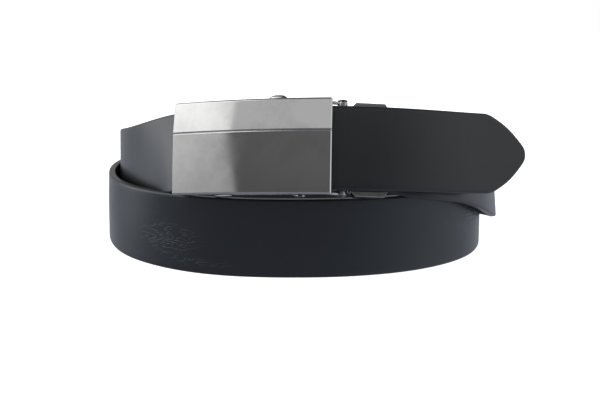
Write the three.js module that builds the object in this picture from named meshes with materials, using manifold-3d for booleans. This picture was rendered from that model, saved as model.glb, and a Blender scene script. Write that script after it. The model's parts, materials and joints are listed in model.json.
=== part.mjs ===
// A leather belt with a ratchet buckle, fastened and coiled in two turns that stand on edge.
// Millimetres, +Z up. The buckle faces -Y, and the origin is under the middle of the coil.
import * as THREE from "three";
import Module from "manifold-3d";
import { mergeVertices } from "three/addons/utils/BufferGeometryUtils.js";

const wasm = await Module();
wasm.setup();

// Clearances
const seatGap = 0.3;
const turningGap = 0.3;

// Facets round a pin, boss or bore
const roundSides = 24;

// Strap
const strapWidth = 35;
const strapThickness = 3.4;
const edgeChamfer = 0.7;
const pointLength = 20;
const strapStep = 4;
const tangentNudge = 0.05;

// Coil: the leather's edge is pressed flat where it comes as low as restDepth
const coilRadius = 100;
const restDepth = 0.15;

// Ratchet track on the inner face of the strap's free end
const trackWidth = 11;
const trackThickness = 1.8;
const toothPitch = 6.4;
const toothDepth = 0.9;
const toothStep = 0.4;
const toothCount = 30;
const teethPastPawl = 2;

// Buckle: its place on the coil and how it is turned
const buckleAside = 20.3;
const buckleForward = 81.6;
const buckleLift = 57;
const buckleYaw = THREE.MathUtils.degToRad(-14.5);
const buckleRoll = THREE.MathUtils.degToRad(3.9);
const buckleLean = THREE.MathUtils.degToRad(19.2);

// Buckle plate, bowed round the wearer
const plateWidth = 69;
const plateHeight = 40;
const plateBow = 238;
const plateEdge = 2.2;
const plateBevel = 0.7;
const creaseShare = 0.34;
const creaseRise = 0.9;
const creaseWidth = 0.8;
const creaseDepth = 0.4;
const channelSlack = 1.1;
const frontSlack = 0.5;
const plateSteps = 16;

// Walls, ears and bridge behind the plate
const wallThickness = 1.1;
const wallInset = 5;
const wallDepth = 4.2;
const bridgeRun = -14.5;
const bridgeWidth = 7;
const bridgeThickness = 2;

// Hinge of the strap clamp
const clampPinRun = 38.2;
const clampPinDepth = 8;
const clampPinRadius = 1.25;
const barrelRadius = 2.1;
const barrelHeight = 3.1;
const barrelRise = 0.2;

// Strap clamp
const clampTurn = THREE.MathUtils.degToRad(22);
const clampStart = 3.3;
const clampLength = 19;
const clampSeat = 1.1;
const clampWall = 1.3;
const clampRim = 2;
const clampCorner = 2.2;
const lugThickness = 1.6;

// Release lever
const leverRun = 11;
const leverPivot = 9;
const leverPinRadius = 0.9;
const leverDepth = 6.8;
const knuckleRadius = 2.1;
const armThickness = 1.5;
const pawlHeight = 14;
const pawlReach = 6.2;
const neckWidth = 8;
const tabWidth = 8.6;
const tabHeight = 3.6;
const tabDepth = 4.2;
const tabAside = 1;
const tabCheek = 0.25;
const headRadius = 2.2;
const headThickness = 0.6;

// Where the strap runs
// Turn is in degrees from the front, counter-clockwise from above. Reach is a share of coilRadius,
// rise of the lower edge a share of strapWidth, and lean of the top edge inwards is in degrees.
const coilRows = [
  { turn: 32, reach: 0.932, rise: 1.01, lean: 17 },
  { turn: 45, reach: 0.985, rise: 0.88, lean: 14 },
  { turn: 65, reach: 0.999, rise: 0.495, lean: 9 },
  { turn: 88, reach: 0.978, rise: 0.185, lean: 4 },
  { turn: 107, reach: 0.9, rise: 0.03, lean: 2 },
  { turn: 122, reach: 0.785, rise: 0.004, lean: 1 },
  { turn: 140, reach: 0.665, rise: 0, lean: 1 },
  { turn: 160, reach: 0.597, rise: 0, lean: 1 },
  { turn: 180, reach: 0.577, rise: 0, lean: 1 },
  { turn: 200, reach: 0.597, rise: 0, lean: 1 },
  { turn: 220, reach: 0.665, rise: 0, lean: 1 },
  { turn: 238, reach: 0.785, rise: 0, lean: 2 },
  { turn: 253, reach: 0.895, rise: 0, lean: 2 },
  { turn: 269, reach: 0.97, rise: 0, lean: 3 },
  { turn: 285, reach: 0.986, rise: 0, lean: 3 },
  { turn: 300, reach: 0.979, rise: 0, lean: 2 },
  { turn: 330, reach: 0.896, rise: 0, lean: 2 },
  { turn: 360, reach: 0.833, rise: 0, lean: 2 },
  { turn: 390, reach: 0.884, rise: 0, lean: 2 },
  { turn: 420, reach: 0.953, rise: 0, lean: 2 },
  { turn: 435, reach: 0.925, rise: 0, lean: 2 },
  { turn: 450, reach: 0.876, rise: 0, lean: 2 },
  { turn: 468, reach: 0.79, rise: 0, lean: 1 },
  { turn: 485, reach: 0.685, rise: 0, lean: 1 },
  { turn: 502, reach: 0.597, rise: 0, lean: 0 },
  { turn: 520, reach: 0.54, rise: 0, lean: 0 },
  { turn: 540, reach: 0.522, rise: 0.001, lean: 0 },
  { turn: 560, reach: 0.543, rise: 0.02, lean: 0 },
  { turn: 580, reach: 0.608, rise: 0.085, lean: 0 },
  { turn: 597, reach: 0.713, rise: 0.195, lean: 0 },
  { turn: 613, reach: 0.83, rise: 0.33, lean: 0 },
  { turn: 630, reach: 0.918, rise: 0.475, lean: 2 },
  { turn: 652, reach: 0.896, rise: 0.652, lean: 5 },
  { turn: 672, reach: 0.867, rise: 0.872, lean: 8 },
];

// Inside the buckle: run from the plate's middle and back from its bowed middle line as shares of
// plateWidth, and drop below channelDrop as a share of strapWidth.
const channelDrop = 0.35;
const channelRows = [
  { run: -0.536, back: 0.04, drop: 0.009 },
  { run: -0.35, back: 0.006, drop: 0.005 },
  { run: -0.175, back: 0, drop: 0.001 },
  { run: 0, back: 0, drop: 0 },
  { run: 0.175, back: 0, drop: 0 },
  { run: 0.35, back: 0, drop: 0 },
];

// Past the buckle the free end curls back: shares of tailLength, from the plate's middle.
const tailLength = 124;
const tailRows = [
  { across: 0.289, back: 0.025, lift: -0.003 },
  { across: 0.4, back: 0.062, lift: -0.002 },
  { across: 0.543, back: 0.137, lift: 0.001 },
  { across: 0.678, back: 0.227, lift: 0.005 },
  { across: 0.81, back: 0.32, lift: 0.011 },
  { across: 0.898, back: 0.379, lift: 0.016 },
];

// Outline of the point: distance from the tip as a share of pointLength, and half width as a
// share of half the strap's width.
const pointRows = [
  { from: 0, half: 0.08 },
  { from: 0.04, half: 0.17 },
  { from: 0.13, half: 0.31 },
  { from: 0.29, half: 0.51 },
  { from: 0.5, half: 0.72 },
  { from: 0.72, half: 0.88 },
  { from: 0.88, half: 0.97 },
  { from: 1, half: 1 },
];

const leather = new THREE.MeshStandardMaterial({ color: 0x17171a, roughness: 0.5, metalness: 0 });
const nylon = new THREE.MeshStandardMaterial({ color: 0x0e0e10, roughness: 0.6, metalness: 0 });
const gunmetal = new THREE.MeshStandardMaterial({ color: 0x8c8c90, roughness: 0.25, metalness: 1 });
const steel = new THREE.MeshStandardMaterial({ color: 0x9a9a9c, roughness: 0.3, metalness: 1 });

const halfStrap = strapWidth / 2;
const halfLeather = strapThickness / 2;
const trackFront = -(halfLeather + seatGap);
const trackBack = trackFront - trackThickness;
const wallInside = halfStrap + channelSlack;
const wallOutside = wallInside + wallThickness;
const bridgeFront = trackBack - 2 * seatGap;
const barrelTop = wallOutside + barrelRise;
const plateBack = halfLeather + frontSlack;
const plateEdgeFront = plateBack + plateEdge;

// Buckle frame: x along the plate, y up it, z out of its front
function buckleMatrix() {
  const along = new THREE.Vector3(
    Math.cos(buckleYaw) * Math.cos(buckleRoll),
    Math.sin(buckleYaw) * Math.cos(buckleRoll),
    Math.sin(buckleRoll),
  );
  const upright = new THREE.Vector3(0, 0, 1).addScaledVector(along, -along.z).normalize();
  const level = new THREE.Vector3().crossVectors(along, upright);
  const up = upright.clone().multiplyScalar(Math.cos(buckleLean));
  up.addScaledVector(level, -Math.sin(buckleLean));
  const front = new THREE.Vector3().crossVectors(along, up);
  const middle = new THREE.Vector3(-buckleAside, -buckleForward, buckleLift);
  return new THREE.Matrix4().makeBasis(along, up, front).setPosition(middle);
}

// A point of the bowed buckle, in the buckle frame
function bowed(run, rise, out) {
  const angle = run / plateBow;
  const radius = plateBow + out;
  return new THREE.Vector3(radius * Math.sin(angle), rise, radius * Math.cos(angle) - plateBow);
}

// A place on the bowed buckle, turned square to it and then by a further angle
function bowedPlace(run, out, turn) {
  const place = new THREE.Matrix4().makeRotationY(run / plateBow + turn);
  return place.setPosition(bowed(run, 0, out));
}

function clampPlace() {
  const turn = clampTurn - clampPinRun / plateBow;
  return bowedPlace(clampPinRun, -pinDepthOnBow(), turn);
}

// The clamp's pin lies clampPinDepth behind the flat of the plate's middle
function pinDepthOnBow() {
  const angle = clampPinRun / plateBow;
  return plateBow - (plateBow - clampPinDepth) / Math.cos(angle);
}

// Natural cubic spline: bends (second derivatives) at the stations
function splineBends(stations, values) {
  const last = stations.length - 1;
  const factors = values.map(() => 0);
  const bends = values.map(() => 0);
  for (let i = 1; i < last; i += 1) {
    const span = stations[i + 1] - stations[i - 1];
    const share = (stations[i] - stations[i - 1]) / span;
    const after = (values[i + 1] - values[i]) / (stations[i + 1] - stations[i]);
    const before = (values[i] - values[i - 1]) / (stations[i] - stations[i - 1]);
    const pivot = share * factors[i - 1] + 2;
    factors[i] = (share - 1) / pivot;
    bends[i] = ((6 * (after - before)) / span - share * bends[i - 1]) / pivot;
  }
  for (let i = last - 1; i > 0; i -= 1) {
    bends[i] += factors[i] * bends[i + 1];
  }
  return bends;
}

// A smooth curve of vectors over rising stations
function splineThrough(stations, vectors) {
  const axes = ["x", "y", "z"];
  const bends = axes.map((axis) => splineBends(stations, vectors.map((vector) => vector[axis])));
  return (at) => {
    let i = 0;
    while (i < stations.length - 2 && at > stations[i + 1]) i += 1;
    const span = stations[i + 1] - stations[i];
    const low = (stations[i + 1] - at) / span;
    const high = 1 - low;
    const point = new THREE.Vector3();
    axes.forEach((axis, k) => {
      const curve = (low ** 3 - low) * bends[k][i] + (high ** 3 - high) * bends[k][i + 1];
      point[axis] = low * vectors[i][axis] + high * vectors[i + 1][axis] + (curve * span * span) / 6;
    });
    return point;
  };
}

// The strap's middle line from its clamped end to its tip, as knots with an up direction
function strapKnots() {
  const buckle = buckleMatrix();
  const buckleUp = new THREE.Vector3().setFromMatrixColumn(buckle, 1);
  const knots = [];
  const add = (at, up, middle = false) => knots.push({ at, up, middle });

  const clamp = clampPlace();
  [clampStart + seatGap, (clampStart + clampLength) / 2, clampLength].forEach((run) => {
    const seat = new THREE.Vector3(run, -channelDrop, -clampSeat);
    add(seat.applyMatrix4(clamp).applyMatrix4(buckle), buckleUp);
  });

  coilRows.forEach((row) => {
    const turn = THREE.MathUtils.degToRad(row.turn);
    const lean = THREE.MathUtils.degToRad(row.lean);
    const out = new THREE.Vector3(Math.sin(turn), -Math.cos(turn), 0);
    const at = out.clone().multiplyScalar(row.reach * coilRadius);
    at.z = row.rise * strapWidth + halfStrap * Math.cos(lean) + halfLeather * Math.sin(lean);
    const up = new THREE.Vector3(0, 0, Math.cos(lean)).addScaledVector(out, -Math.sin(lean));
    add(at, up);
  });

  channelRows.forEach((row) => {
    const drop = channelDrop + row.drop * strapWidth;
    const at = bowed(row.run * plateWidth, -drop, -row.back * plateWidth);
    add(at.applyMatrix4(buckle), buckleUp, row.run === 0);
  });

  tailRows.forEach((row) => {
    const at = new THREE.Vector3(row.across, row.lift, -row.back).multiplyScalar(tailLength);
    add(at.applyMatrix4(buckle), buckleUp);
  });
  return knots;
}

// The strap's path: its length, the run at the plate's middle and a frame at each run
function strapPath() {
  const knots = strapKnots();
  const stations = [0];
  for (let i = 1; i < knots.length; i += 1) {
    stations.push(stations[i - 1] + knots[i].at.distanceTo(knots[i - 1].at));
  }
  const place = splineThrough(stations, knots.map((knot) => knot.at));
  const rise = splineThrough(stations, knots.map((knot) => knot.up));
  const length = stations.at(-1);
  const middle = stations[knots.findIndex((knot) => knot.middle)];
  const frame = (run) => {
    const at = place(run);
    const along = place(run + tangentNudge).sub(place(run - tangentNudge)).normalize();
    const up = rise(run);
    up.addScaledVector(along, -up.dot(along)).normalize();
    const out = new THREE.Vector3().crossVectors(along, up);
    return { at, along, up, out };
  };
  return { length, middle, frame };
}

// A closed body through rings of equal count, each counter-clockwise seen from the next ring
function loft(rings) {
  const count = rings[0].length;
  const positions = rings.flat().flatMap((point) => point.toArray());
  const faces = [];
  for (let i = 0; i < rings.length - 1; i += 1) {
    for (let j = 0; j < count; j += 1) {
      const a = i * count + j;
      const b = i * count + ((j + 1) % count);
      faces.push(a, b, b + count, a, b + count, a + count);
    }
  }
  const end = (rings.length - 1) * count;
  capFaces(rings[0]).forEach(([a, b, c]) => {
    faces.push(a, c, b, end + a, end + b, end + c);
  });
  const geometry = new THREE.BufferGeometry();
  geometry.setAttribute("position", new THREE.Float32BufferAttribute(positions, 3));
  geometry.setIndex(faces);
  return geometry;
}

// Triangles of a flat ring, in the ring's own turning sense
function capFaces(ring) {
  const normal = new THREE.Vector3();
  ring.forEach((point, i) => {
    normal.add(new THREE.Vector3().crossVectors(point, ring[(i + 1) % ring.length]));
  });
  normal.normalize();
  const side = ring[1].clone().sub(ring[0]).normalize();
  const other = new THREE.Vector3().crossVectors(normal, side);
  const outline = ring.map((point) => new THREE.Vector2(point.dot(side), point.dot(other)));
  return THREE.ShapeUtils.triangulateShape(outline, []);
}

// A strap section given as [rise, face] corners, stood on the path at a run
function standSection(path, run, section) {
  const { at, up, out } = path.frame(run);
  return section.map(([rise, face]) => {
    return at.clone().addScaledVector(up, rise).addScaledVector(out, face);
  });
}

function pointShare(fromTip) {
  const from = Math.min(fromTip / pointLength, 1);
  const high = Math.max(pointRows.findIndex((row) => row.from >= from), 1);
  const [a, b] = [pointRows[high - 1], pointRows[high]];
  return THREE.MathUtils.lerp(a.half, b.half, (from - a.from) / (b.from - a.from));
}

function strapGeometry(path) {
  const plain = path.length - pointLength;
  const count = Math.ceil(plain / strapStep);
  const runs = Array.from({ length: count }, (_, i) => (plain * i) / count);
  pointRows.toReversed().forEach((row) => runs.push(path.length - row.from * pointLength));
  const rings = runs.map((run) => {
    const half = halfStrap * pointShare(path.length - run);
    const cut = Math.min(edgeChamfer, half / 2);
    const section = [
      [half - cut, -halfLeather],
      [half, cut - halfLeather],
      [half, halfLeather - cut],
      [half - cut, halfLeather],
      [cut - half, halfLeather],
      [-half, halfLeather - cut],
      [-half, cut - halfLeather],
      [cut - half, -halfLeather],
    ];
    return standSection(path, run, section).map(restFlat);
  });
  return loft(rings);
}

function restFlat(point) {
  return point.setZ(point.z < restDepth ? 0 : point.z);
}

// A strip of saw teeth: each tooth starts at full height and falls away towards the tip
function trackGeometry(path) {
  const first = path.middle + leverRun - (toothCount - teethPastPawl) * toothPitch;
  const rings = [];
  const half = trackWidth / 2;
  const ring = (run, back) => {
    const section = [[half, back], [half, trackFront], [-half, trackFront], [-half, back]];
    rings.push(standSection(path, run, section));
  };
  for (let i = 0; i < toothCount; i += 1) {
    const run = first + i * toothPitch;
    ring(run, trackBack);
    ring(run + toothPitch - toothStep, trackBack + toothDepth);
  }
  return loft(rings);
}

// A bar that follows the plate's bow, from a section of [rise, out] corners, counter-clockwise
function bowedBar(from, to, steps, section) {
  const rings = [];
  for (let i = 0; i <= steps; i += 1) {
    const run = THREE.MathUtils.lerp(from, to, i / steps);
    rings.push(section.map(([rise, out]) => bowed(run, rise, out)));
  }
  return loft(rings);
}

// An outline in the x-z plane, given as a shape whose second coordinate is -z, raised along y
function standing(shape, from, to) {
  const options = { depth: to - from, bevelEnabled: false, curveSegments: roundSides / 2 };
  return new THREE.ExtrudeGeometry(shape, options).rotateX(-Math.PI / 2).translate(0, from, 0);
}

function pillar(radius, from, to) {
  const geometry = new THREE.CylinderGeometry(radius, radius, to - from, roundSides);
  return geometry.translate(0, (from + to) / 2, 0);
}

// A stretch of height above the middle, or the same stretch below it where side is -1
function span(side, inner, outer) {
  return side > 0 ? [inner, outer] : [-outer, -inner];
}

function block(x, y, z) {
  const [a, b, c] = [x, y, z].map(([low, high]) => [high - low, (low + high) / 2]);
  return new THREE.BoxGeometry(a[0], b[0], c[0]).translate(a[1], b[1], c[1]);
}

function solid(geometry, place = new THREE.Matrix4()) {
  const bare = geometry.clone().applyMatrix4(place);
  bare.deleteAttribute("normal");
  bare.deleteAttribute("uv");
  const merged = mergeVertices(bare);
  return new wasm.Manifold(
    new wasm.Mesh({
      numProp: 3,
      vertProperties: Float32Array.from(merged.attributes.position.array),
      triVerts: Uint32Array.from(merged.index.array),
    }),
  );
}

function toGeometry(body) {
  const mesh = body.getMesh();
  const geometry = new THREE.BufferGeometry();
  geometry.setAttribute("position", new THREE.Float32BufferAttribute(mesh.vertProperties, 3));
  geometry.setIndex(Array.from(mesh.triVerts));
  return geometry;
}

// Plate with two facets that meet in a grooved crease
function facePlate() {
  const half = plateHeight / 2;
  const crease = half - creaseShare * plateHeight;
  const ridge = plateEdgeFront + creaseRise;
  const groove = creaseWidth / 2;
  const section = [
    [-half, plateBack],
    [half, plateBack],
    [half, plateEdgeFront - plateBevel],
    [half - plateBevel, plateEdgeFront],
    [crease + groove, ridge],
    [crease, ridge - creaseDepth],
    [crease - groove, ridge],
    [plateBevel - half, plateEdgeFront],
    [-half, plateEdgeFront - plateBevel],
  ];
  return solid(bowedBar(-plateWidth / 2, plateWidth / 2, plateSteps, section));
}

// An ear along a wall that carries a round boss about a pin behind the plate
function earShape(spread, behind, radius) {
  const shape = new THREE.Shape();
  const tilt = Math.atan2(spread, behind);
  shape.moveTo(-radius - spread, -plateBack);
  shape.lineTo(-radius * Math.cos(tilt), behind - radius * Math.sin(tilt));
  shape.absarc(0, behind, radius, Math.PI + tilt, 0, true);
  shape.lineTo(radius, -plateBack);
  return shape;
}

// Two walls behind the plate, joined by a web within the plate's thickness
function wallChannel() {
  const wallEnd = plateWidth / 2 - wallInset;
  const wallBack = plateBack - wallDepth;
  const webBack = plateBack + plateEdge / 4;
  const webFront = plateBack + plateEdge / 2;
  const section = [
    [-wallOutside, wallBack],
    [-wallInside, wallBack],
    [-wallInside, webBack],
    [wallInside, webBack],
    [wallInside, wallBack],
    [wallOutside, wallBack],
    [wallOutside, webFront],
    [-wallOutside, webFront],
  ];
  return solid(bowedBar(-wallEnd, wallEnd, plateSteps, section));
}

function buckleBody() {
  let body = facePlate().add(wallChannel());
  [1, -1].forEach((side) => {
    const rises = span(side, wallInside, wallOutside);
    body = body.add(bridgeCheek(rises));
    body = body.add(leverEar(rises));
    body = body.add(clampEar(side, rises));
  });
  const bridge = block(
    [-bridgeWidth / 2, bridgeWidth / 2],
    [-wallInside - wallThickness / 2, wallInside + wallThickness / 2],
    [bridgeFront - bridgeThickness, bridgeFront],
  );
  body = body.add(solid(bridge, bowedPlace(bridgeRun, 0, 0)));
  const leverBore = pillar(leverPinRadius + turningGap, -plateHeight, plateHeight);
  leverBore.translate(leverPivot, 0, -leverDepth);
  body = body.subtract(solid(leverBore, bowedPlace(leverRun, 0, 0)));
  const clampBore = pillar(clampPinRadius + turningGap, -plateHeight, plateHeight);
  return body.subtract(solid(clampBore, clampPlace()));
}

// The walls reach back to the bridge at its two ends
function bridgeCheek(rises) {
  const depth = [bridgeFront - bridgeThickness, plateBack];
  const cheek = block([-bridgeWidth / 2, bridgeWidth / 2], rises, depth);
  return solid(cheek, bowedPlace(bridgeRun, 0, 0));
}

function leverEar(rises) {
  const shape = earShape(knuckleRadius, leverDepth, knuckleRadius);
  const ear = standing(shape, rises[0], rises[1]).translate(leverPivot, 0, 0);
  return solid(ear, bowedPlace(leverRun, 0, 0));
}

function clampEar(side, rises) {
  const pin = new THREE.Vector3().applyMatrix4(clampPlace());
  const wallEnd = plateWidth / 2 - wallInset - pin.x;
  const root = wallEnd - 2 * barrelRadius;
  const shape = new THREE.Shape();
  shape.moveTo(root, halfLeather);
  shape.lineTo(wallEnd, halfLeather);
  shape.lineTo(barrelRadius, -pin.z);
  shape.absarc(0, -pin.z, barrelRadius, 0, Math.PI, false);
  shape.lineTo(root, wallDepth - plateBack);
  const ear = standing(shape, rises[0], rises[1]).translate(pin.x, 0, 0);
  const [low, high] = span(side, barrelTop - barrelHeight, barrelTop);
  const barrel = pillar(barrelRadius, low, high).translate(pin.x, 0, pin.z);
  return solid(ear).add(solid(barrel));
}

// A pin with a low round head at each end
function headedPin(radius, reach, head) {
  const half = reach + turningGap;
  const profile = [
    [0, -half - headThickness],
    [head, -half - headThickness],
    [head, -half],
    [radius, -half],
    [radius, half],
    [head, half],
    [head, half + headThickness],
    [0, half + headThickness],
  ];
  return new THREE.LatheGeometry(profile.map(([x, y]) => new THREE.Vector2(x, y)), roundSides);
}

// A flat sleeve round the strap's end, with two lugs on the hinge pin
function strapClamp() {
  const halfInside = halfStrap + seatGap;
  const half = halfInside + clampRim;
  const hollowBack = -clampSeat - halfLeather - seatGap;
  const hollowFront = -clampSeat + halfLeather + seatGap;
  const outline = new THREE.Shape();
  outline.moveTo(clampStart + clampCorner, -half);
  outline.lineTo(clampLength - clampCorner / 2, -half);
  outline.lineTo(clampLength, clampCorner / 2 - half);
  outline.lineTo(clampLength, half - clampCorner / 2);
  outline.lineTo(clampLength - clampCorner / 2, half);
  outline.lineTo(clampStart + clampCorner, half);
  outline.lineTo(clampStart, half - clampCorner);
  outline.lineTo(clampStart, clampCorner - half);
  const depth = hollowFront - hollowBack + 2 * clampWall;
  const sleeve = new THREE.ExtrudeGeometry(outline, { depth, bevelEnabled: false });
  sleeve.translate(0, -channelDrop, hollowBack - clampWall);
  let body = solid(sleeve);
  const hollow = block([0, 2 * clampLength], [-halfInside, halfInside], [hollowBack, hollowFront]);
  body = body.subtract(solid(hollow.translate(0, -channelDrop, 0)));
  const lugRadius = clampPinRadius + turningGap + clampWall / 2;
  const lugTop = barrelTop - barrelHeight - turningGap;
  [1, -1].forEach((side) => {
    const rises = span(side, lugTop - lugThickness, lugTop);
    const web = block([0, clampStart + clampWall], rises, [hollowBack - clampWall, hollowBack]);
    const boss = pillar(lugRadius, rises[0], rises[1]);
    const stem = block([-lugRadius, lugRadius / 2], rises, [hollowBack - clampWall, 0]);
    body = body.add(solid(web)).add(solid(boss)).add(solid(stem));
  });
  return body.subtract(solid(pillar(clampPinRadius + turningGap, -plateHeight, plateHeight)));
}

// Pawl, arm and tab in one piece. Its tooth lies in a gap of the track, clear by a running gap
function releaseLever() {
  const crest = trackBack - turningGap;
  const armBack = -leverDepth - armThickness / 2;
  const arm = new THREE.Shape();
  arm.moveTo(-pawlReach, -crest);
  arm.lineTo(-turningGap, -crest - toothDepth + turningGap);
  arm.lineTo(-turningGap, -crest + armThickness / 2);
  arm.lineTo(leverPivot, -armBack - armThickness);
  arm.lineTo(leverPivot, -armBack);
  arm.lineTo(-pawlReach, -armBack);
  let body = solid(standing(arm, -pawlHeight / 2, pawlHeight / 2));
  const knuckle = pillar(knuckleRadius, -pawlHeight / 2, pawlHeight / 2);
  body = body.add(solid(knuckle.translate(leverPivot, 0, -leverDepth)));
  const neckSides = [-tabAside - neckWidth / 2, neckWidth / 2 - tabAside];
  const neck = block(neckSides, [0, barrelTop + tabHeight / 2], [armBack, armBack + armThickness]);
  const tab = tabGeometry().translate(-tabAside, barrelTop, armBack + armThickness);
  body = body.add(solid(neck)).add(solid(tab));
  const bore = pillar(leverPinRadius + turningGap, -plateHeight, plateHeight);
  return body.subtract(solid(bore.translate(leverPivot, 0, -leverDepth)));
}

// A thumb tab with a low domed top
function tabGeometry() {
  const half = tabWidth / 2;
  const cheek = tabHeight * tabCheek;
  const shape = new THREE.Shape();
  shape.moveTo(-half, 0);
  shape.lineTo(half, 0);
  shape.lineTo(half, cheek);
  shape.quadraticCurveTo(0, 2 * tabHeight - cheek, -half, cheek);
  const options = { depth: tabDepth, bevelEnabled: false, curveSegments: roundSides / 3 };
  return new THREE.ExtrudeGeometry(shape, options).translate(0, 0, -tabDepth / 2);
}

function named(name, geometry, material) {
  const mesh = new THREE.Mesh(geometry, material);
  mesh.name = name;
  return mesh;
}

function placed(mesh, place) {
  mesh.applyMatrix4(place);
  return mesh;
}

const path = strapPath();
const belt = new THREE.Group();
belt.add(named("strap", strapGeometry(path), leather));
belt.add(named("ratchet_track", trackGeometry(path), nylon));

const buckle = new THREE.Group();
buckle.applyMatrix4(buckleMatrix());
belt.add(buckle);
buckle.add(named("buckle_body", toGeometry(buckleBody()), gunmetal));
buckle.add(placed(named("strap_clamp", toGeometry(strapClamp()), steel), clampPlace()));
const clampPin = headedPin(clampPinRadius, barrelTop, barrelRadius);
buckle.add(placed(named("clamp_pin", clampPin, steel), clampPlace()));
const lever = new THREE.Group();
lever.applyMatrix4(bowedPlace(leverRun, 0, 0));
buckle.add(lever);
lever.add(named("release_lever", toGeometry(releaseLever()), steel));
const leverPin = headedPin(leverPinRadius, wallOutside, headRadius);
leverPin.translate(leverPivot, 0, -leverDepth);
lever.add(named("lever_pin", leverPin, steel));

// Stand the coil on z = 0 with its box centred on the origin
belt.updateMatrixWorld(true);
const box = new THREE.Box3().setFromObject(belt, true);
const group = new THREE.Group();
belt.position.set(-(box.min.x + box.max.x) / 2, -(box.min.y + box.max.y) / 2, -box.min.z);
group.add(belt);

export default group;
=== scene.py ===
"""A leather belt with a ratchet buckle, fastened and coiled in two turns that stand on edge.

Lengths are in millimetres until a mesh is made, where MM turns them into metres. Places on the
coil are found from a ring whose middle is the coil's own, and the frame's joint says where that
ring stands.
"""

import json
import logging
import math
from dataclasses import dataclass, field
from enum import Enum
from typing import NamedTuple

import bpy
import numpy as np
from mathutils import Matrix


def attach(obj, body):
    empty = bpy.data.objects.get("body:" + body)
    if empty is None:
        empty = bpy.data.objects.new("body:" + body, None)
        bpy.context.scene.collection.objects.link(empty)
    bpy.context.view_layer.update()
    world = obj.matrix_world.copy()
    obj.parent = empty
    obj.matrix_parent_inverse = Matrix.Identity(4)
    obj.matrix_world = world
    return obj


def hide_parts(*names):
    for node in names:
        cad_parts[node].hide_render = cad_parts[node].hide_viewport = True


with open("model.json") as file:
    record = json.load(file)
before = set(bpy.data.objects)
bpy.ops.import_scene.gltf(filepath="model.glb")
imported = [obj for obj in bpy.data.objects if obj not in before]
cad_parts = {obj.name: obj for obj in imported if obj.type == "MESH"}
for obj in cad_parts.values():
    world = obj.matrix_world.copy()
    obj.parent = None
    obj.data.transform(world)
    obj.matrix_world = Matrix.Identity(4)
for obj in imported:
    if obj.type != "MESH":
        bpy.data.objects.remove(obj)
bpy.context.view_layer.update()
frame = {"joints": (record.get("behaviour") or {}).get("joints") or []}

log = logging.getLogger("belt")

Array = np.ndarray
Socket = bpy.types.NodeSocket
MM = 0.001
NOISE_MIDDLE = 0.5
BOSS_STEPS = 24


class Body(Enum):
    """The bodies that pieces ride on."""

    BELT = "belt"
    LEVER = "lever"


class Slot(Enum):
    """The record's material slots."""

    LEATHER = "leather"
    TRACK = "track"
    PLATE = "plate"
    FITTINGS = "fittings"


class CoilRow(NamedTuple):
    """A place of the strap on the coil.

    turn is in degrees from the front, counter-clockwise from above. reach is a share of the coil's
    radius, rise of the lower edge a share of the strap's width, and lean of the top edge inwards
    is in degrees.
    """

    turn: float
    reach: float
    rise: float
    lean: float


class ChannelRow(NamedTuple):
    """A place inside the buckle: run and back as shares of the plate's width, drop of the strap's."""

    run: float
    back: float
    drop: float


class TailRow(NamedTuple):
    """A place past the buckle, as shares of the tail's length from the plate's middle."""

    across: float
    back: float
    lift: float


class PointRow(NamedTuple):
    """The strap's point: share of its length from the tip, and share of the half width there."""

    distance: float
    half: float


class Swell(NamedTuple):
    """A slow swell of the leather, as one sine times a slower one.

    length, across and start are the first sine's millimetres for each radian along the strap, its
    radians for each millimetre across it, and its phase. slow_length and slow_start are the same
    for the slower one. share is the swell's part of the whole.
    """

    length: float
    across: float
    start: float
    slow_length: float
    slow_start: float
    share: float


class CreasePatch(NamedTuple):
    """Where the leather has creased: turn on the coil, rise from its middle line, and half sizes."""

    turn: float
    rise: float
    along: float
    across: float


COIL_ROWS = (
    CoilRow(32, 0.932, 1.01, 17),
    CoilRow(45, 0.985, 0.88, 14),
    CoilRow(65, 0.999, 0.495, 9),
    CoilRow(88, 0.978, 0.185, 4),
    CoilRow(107, 0.9, 0.03, 2),
    CoilRow(122, 0.785, 0.004, 1),
    CoilRow(140, 0.665, 0.0, 1),
    CoilRow(160, 0.597, 0.0, 1),
    CoilRow(180, 0.577, 0.0, 1),
    CoilRow(200, 0.597, 0.0, 1),
    CoilRow(220, 0.665, 0.0, 1),
    CoilRow(238, 0.785, 0.0, 2),
    CoilRow(253, 0.895, 0.0, 2),
    CoilRow(269, 0.97, 0.0, 3),
    CoilRow(285, 0.986, 0.0, 3),
    CoilRow(300, 0.979, 0.0, 2),
    CoilRow(330, 0.896, 0.0, 2),
    CoilRow(360, 0.833, 0.0, 2),
    CoilRow(390, 0.884, 0.0, 2),
    CoilRow(420, 0.953, 0.0, 2),
    CoilRow(435, 0.925, 0.0, 2),
    CoilRow(450, 0.876, 0.0, 2),
    CoilRow(468, 0.79, 0.0, 1),
    CoilRow(485, 0.685, 0.0, 1),
    CoilRow(502, 0.597, 0.0, 0),
    CoilRow(520, 0.54, 0.0, 0),
    CoilRow(540, 0.522, 0.001, 0),
    CoilRow(560, 0.543, 0.02, 0),
    CoilRow(580, 0.608, 0.085, 0),
    CoilRow(597, 0.713, 0.195, 0),
    CoilRow(613, 0.83, 0.33, 0),
    CoilRow(630, 0.918, 0.475, 2),
    CoilRow(652, 0.896, 0.652, 5),
    CoilRow(672, 0.867, 0.872, 8),
)
CHANNEL_ROWS = (
    ChannelRow(-0.536, 0.04, 0.009),
    ChannelRow(-0.35, 0.006, 0.005),
    ChannelRow(-0.175, 0.0, 0.001),
    ChannelRow(0.0, 0.0, 0.0),
    ChannelRow(0.175, 0.0, 0.0),
    ChannelRow(0.35, 0.0, 0.0),
)
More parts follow.
